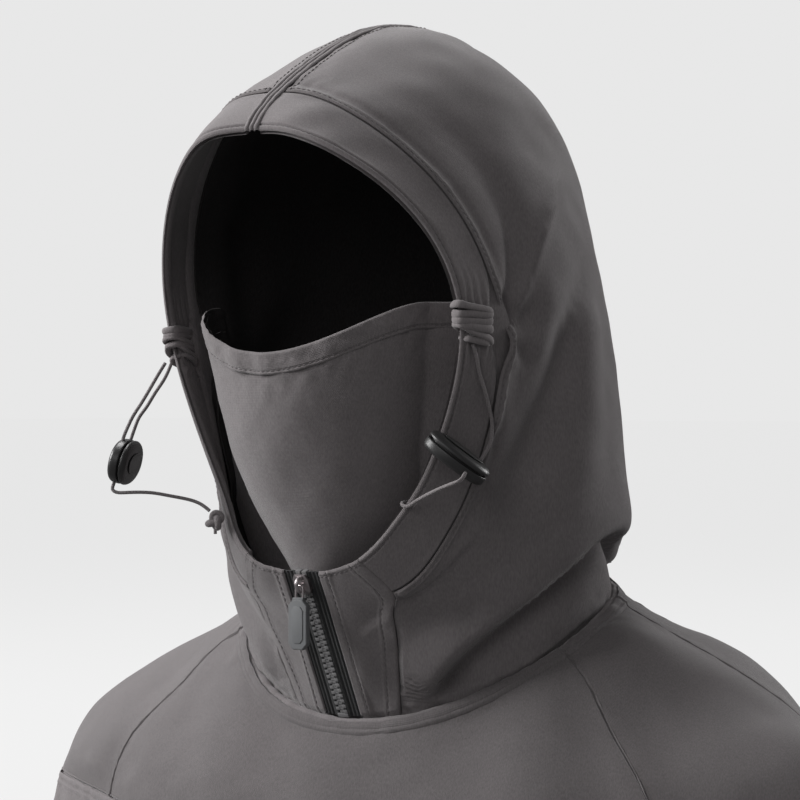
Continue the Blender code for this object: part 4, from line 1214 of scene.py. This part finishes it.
CHAIN_UP = np.array(ZIP_TOP.normalized())
CHAIN_OUT = np.cross((1, 0, 0), CHAIN_UP)
CHAIN = ((0, 0, 0), (1, 0, 0), -CHAIN_OUT, CHAIN_UP)
TEETH_HALF_WIDTH, TEETH_START, TEETH_COUNT = 3.5, 5.0, 25


def rigid(name, parts, finish, slot, body, *nodes, sharp=35.0):
    piece = outward(new_object(name, *parts, finish, slot, sharp=sharp))
    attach(piece, body)
    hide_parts(*nodes)
    return piece


def zip_tape(side, sign):
    across = np.linspace(TEETH_HALF_WIDTH - 1.2, TAPE_EDGE, 26)
    up = np.linspace(3.6, ZIP_LENGTH, 90)
    across, up = np.meshgrid(across, up, indexing="ij")
    base = sign * across[..., None] * np.array([1.0, 0, 0]) + up[..., None] * CHAIN_UP - 1.0 * CHAIN_OUT
    sheet = Sheet(base, np.broadcast_to(CHAIN_OUT, base.shape).copy())
    relief = 0.25 * np.cos(across * 2.6) + 0.8 * hump(across - TEETH_HALF_WIDTH, 1.0)
    sheet.shape(relief)
    sheet.build(f"zip_tape_woven_{side}", tape_grey, "zip_tape", "hood", ZIP_TAPE_THICKNESS,
                f"zip_tape_{side}")


def zip_teeth(side, sign):
    pitch = (ZIP_LENGTH - TEETH_START - 4.0) / TEETH_COUNT
    shift = 0.0 if sign > 0 else pitch / 2
    parts = []
    for index in range(TEETH_COUNT):
        middle = TEETH_START + pitch * (index + 0.3) + shift
        root = block_parts((0.9, 0.1, middle - 0.85), (3.5, 2.9, middle + 0.85), 0.45)
        head = block_parts((-1.5, 0.35, middle - 0.62), (1.5, 2.6, middle + 0.62), 0.4)
        for points, faces in (root, head):
            parts.append(placed((points * (sign, 1, 1), faces), *CHAIN))
    bead = [(sign * 3.4, 1.4, z) for z in np.linspace(TEETH_START, ZIP_LENGTH - 3.0, 40)]
    parts.append(placed(tube_parts(bead, 0.75, sides=10), *CHAIN))
    rigid(f"moulded_teeth_{side}", joined(parts), teeth_grey, "zip_teeth", "hood", f"zip_teeth_{side}")


def zip_slider():
    outline = [(-3.1, 72), (3.1, 72), (4.5, 73.2), (4.9, 75), (4.9, 80),
               (3.4, 82.6), (-3.4, 82.6), (-4.9, 80), (-4.9, 75), (-4.5, 73.2)]
    front = prism_parts(outline, -1.7, -0.2, 0.45)
    rails = [block_parts((x - 0.5, -1.2, 74.4), (x + 0.5, 0.7, 80.0), 0.3) for x in (-4.4, 4.4)]
    arch_route = [(0, -1.2, 73.6), (0, -3.6, 74.2), (0, -5.0, 75.7), (0, -5.2, 77.5), (0, -5.0, 79.3),
                  (0, -3.6, 80.8), (0, -1.2, 81.4)]
    arch = tube_parts(smooth_path(arch_route, 0.5), 1.15, sides=14, flat=0.62, up=(1, 0, 0))
    boss = block_parts((-2.1, -2.3, 80.2), (2.1, -1.3, 82.2), 0.4)
    rigid("slider_front", placed(joined([front, *rails, arch, boss]), *CHAIN), slider_metal, "slider_metal",
          "zip_slider", "zip_slider_front")
    back = prism_parts(outline, 3.3, 4.6, 0.4)
    rigid("slider_back", placed(back, *CHAIN), slider_metal, "slider_metal", "zip_slider", "zip_slider_back")


def zip_pull():
    hinge = np.array(CHAIN_OUT) * 3.2 + CHAIN_UP * 77.5
    hanging = (hinge, (1, 0, 0), (0, 1, 0), (0, 0, 1))
    leg, half, chamfer, length = 6.2, 6.0, 2.9, 24.5
    right_half = [(1.2, 0, 0), (2.1, 0, -0.8), (2.3, 0, -3), (2.3, 0, -leg), (2.3, 0, -leg - 1.6)]
    route = [(-x, y, z) for x, y, z in reversed(right_half)] + right_half
    link = tube_parts(smooth_path(route, 0.5), 0.6, sides=12)
    rigid("pull_link", placed(link, *hanging), slider_metal, "slider_metal", "zip_pull", "zip_pull_link")
    top = -leg - 0.5
    foot = top - length
    outline = [(-half + chamfer, top), (half - chamfer, top), (half, top - chamfer), (half, foot + chamfer),
               (half - chamfer, foot), (-half + chamfer, foot), (-half, foot + chamfer),
               (-half, top - chamfer)]
    tab = prism_parts(outline, -1.8, 1.2, 0.75, segments=3)
    collar = block_parts((-3.4, -1.5, top - 1.2), (3.4, 0.9, top + 1.1), 0.5)
    inset = [(x * 0.62, top - length / 2 + (z - top + length / 2) * 0.74) for x, z in outline]
    plate = prism_parts(inset, -2.15, -1.6, 0.22)
    rigid("pull_tab", placed(joined([tab, collar, plate]), *hanging), tab_rubber, "pull_rubber", "zip_pull",
          "zip_pull_tab")


for side, sign in (("left", 1), ("right", -1)):
    zip_tape(side, sign)
    zip_teeth(side, sign)
    low, high = sorted((sign * 0.5, sign * TEETH_HALF_WIDTH))
    stop = block_parts((low, 0.2, ZIP_LENGTH - 2.2), (high, 3.0, ZIP_LENGTH + 0.4), 0.45)
    rigid(f"top_stop_{side}", placed(stop, *CHAIN), teeth_grey, "zip_teeth", "hood", f"zip_top_stop_{side}")
stop = block_parts((-TEETH_HALF_WIDTH, 0.0, 2.6), (TEETH_HALF_WIDTH, 3.1, TEETH_START - 0.2), 0.5)
rigid("bottom_stop", placed(stop, *CHAIN), teeth_grey, "zip_teeth", "hood", "zip_bottom_stop")
zip_slider()
zip_pull()


# ---------------------------------------------------------------- the cord locks


def oval_parts(profile, sides=72, smooth=5):
    """A closed oval body turned from a profile of how far in and how high it is."""
    rings = []
    turn = np.linspace(0, 2 * np.pi, sides, endpoint=False)
    wide, tall = (np.sign(f(turn)) * np.abs(f(turn)) ** 0.9 for f in (np.cos, np.sin))
    for inset, height in spline(profile, np.linspace(0, len(profile) - 1, smooth * (len(profile) - 1) + 1)):
        across, up = (LOCK_LONG - inset) * wide, (LOCK_SHORT - inset) * tall
        rings.append(np.stack([across, up, 0 * turn + height], -1))
    index = np.arange(len(rings) * sides).reshape(len(rings), sides)
    near, far = index[:-1], index[1:]
    faces = np.stack([near, np.roll(near, -1, 1), np.roll(far, -1, 1), far], -1).reshape(-1, 4).tolist()
    return np.concatenate(rings), faces + [index[0, ::-1].tolist(), index[-1].tolist()]


def cord_lock(side, base_body, button_body):
    centre, face, cords_up = LOCKS[side]
    face = unit(np.array(face))
    cords_up = unit(np.array(cords_up) - np.dot(cords_up, face) * face)
    frame_at = (centre, np.cross(cords_up, face), cords_up, face)
    base = oval_parts([(7.0, -2.75), (4.0, -2.8), (1.6, -2.4), (0.3, -1.2), (0, 0.4), (0, 1.9), (0.25, 2.5),
                       (0.9, 2.65), (1.6, 2.6), (1.75, 1.5), (1.8, 0.2), (2.2, -1.2), (6.0, -1.5)])
    rigid(f"lock_shell_{side}", placed(base, *frame_at), lock_black, "lock_plastic", base_body,
          f"{side}_lock_base", sharp=60)
    under = LOCK_BUTTON_UNDERSIDE
    button = oval_parts([(7.0, 2.3), (2.4, 2.2), (2.2, 3.0), (1.7, under), (0.3, under + 0.1),
                         (0, under + 0.7), (0.1, under + 1.3), (0.8, under + 2.2), (2.4, under + 3.0),
                         (5.0, under + 3.35), (9.0, under + 3.4)])
    press = oval_parts([(8.6, under + 3.2), (6.4, under + 3.6), (6.0, under + 3.95), (6.8, under + 4.1),
                        (9.5, under + 3.85)])
    rigid(f"lock_press_{side}", placed(joined([button, press]), *frame_at), lock_black, "lock_plastic",
          button_body, f"{side}_lock_button", sharp=60)
    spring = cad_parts[f"{side}_lock_spring"]
    for slot in spring.material_slots:
        slot.material = spring_steel


cord_lock("left", "hood", "left_button")
cord_lock("right", "right_lock", "right_button")


# ---------------------------------------------------------------- the studio

make_floor()
make_world()
for name, light in LIGHTS.items():
    make_light(name, *light)
bpy.context.scene.view_settings.view_transform = "Standard"
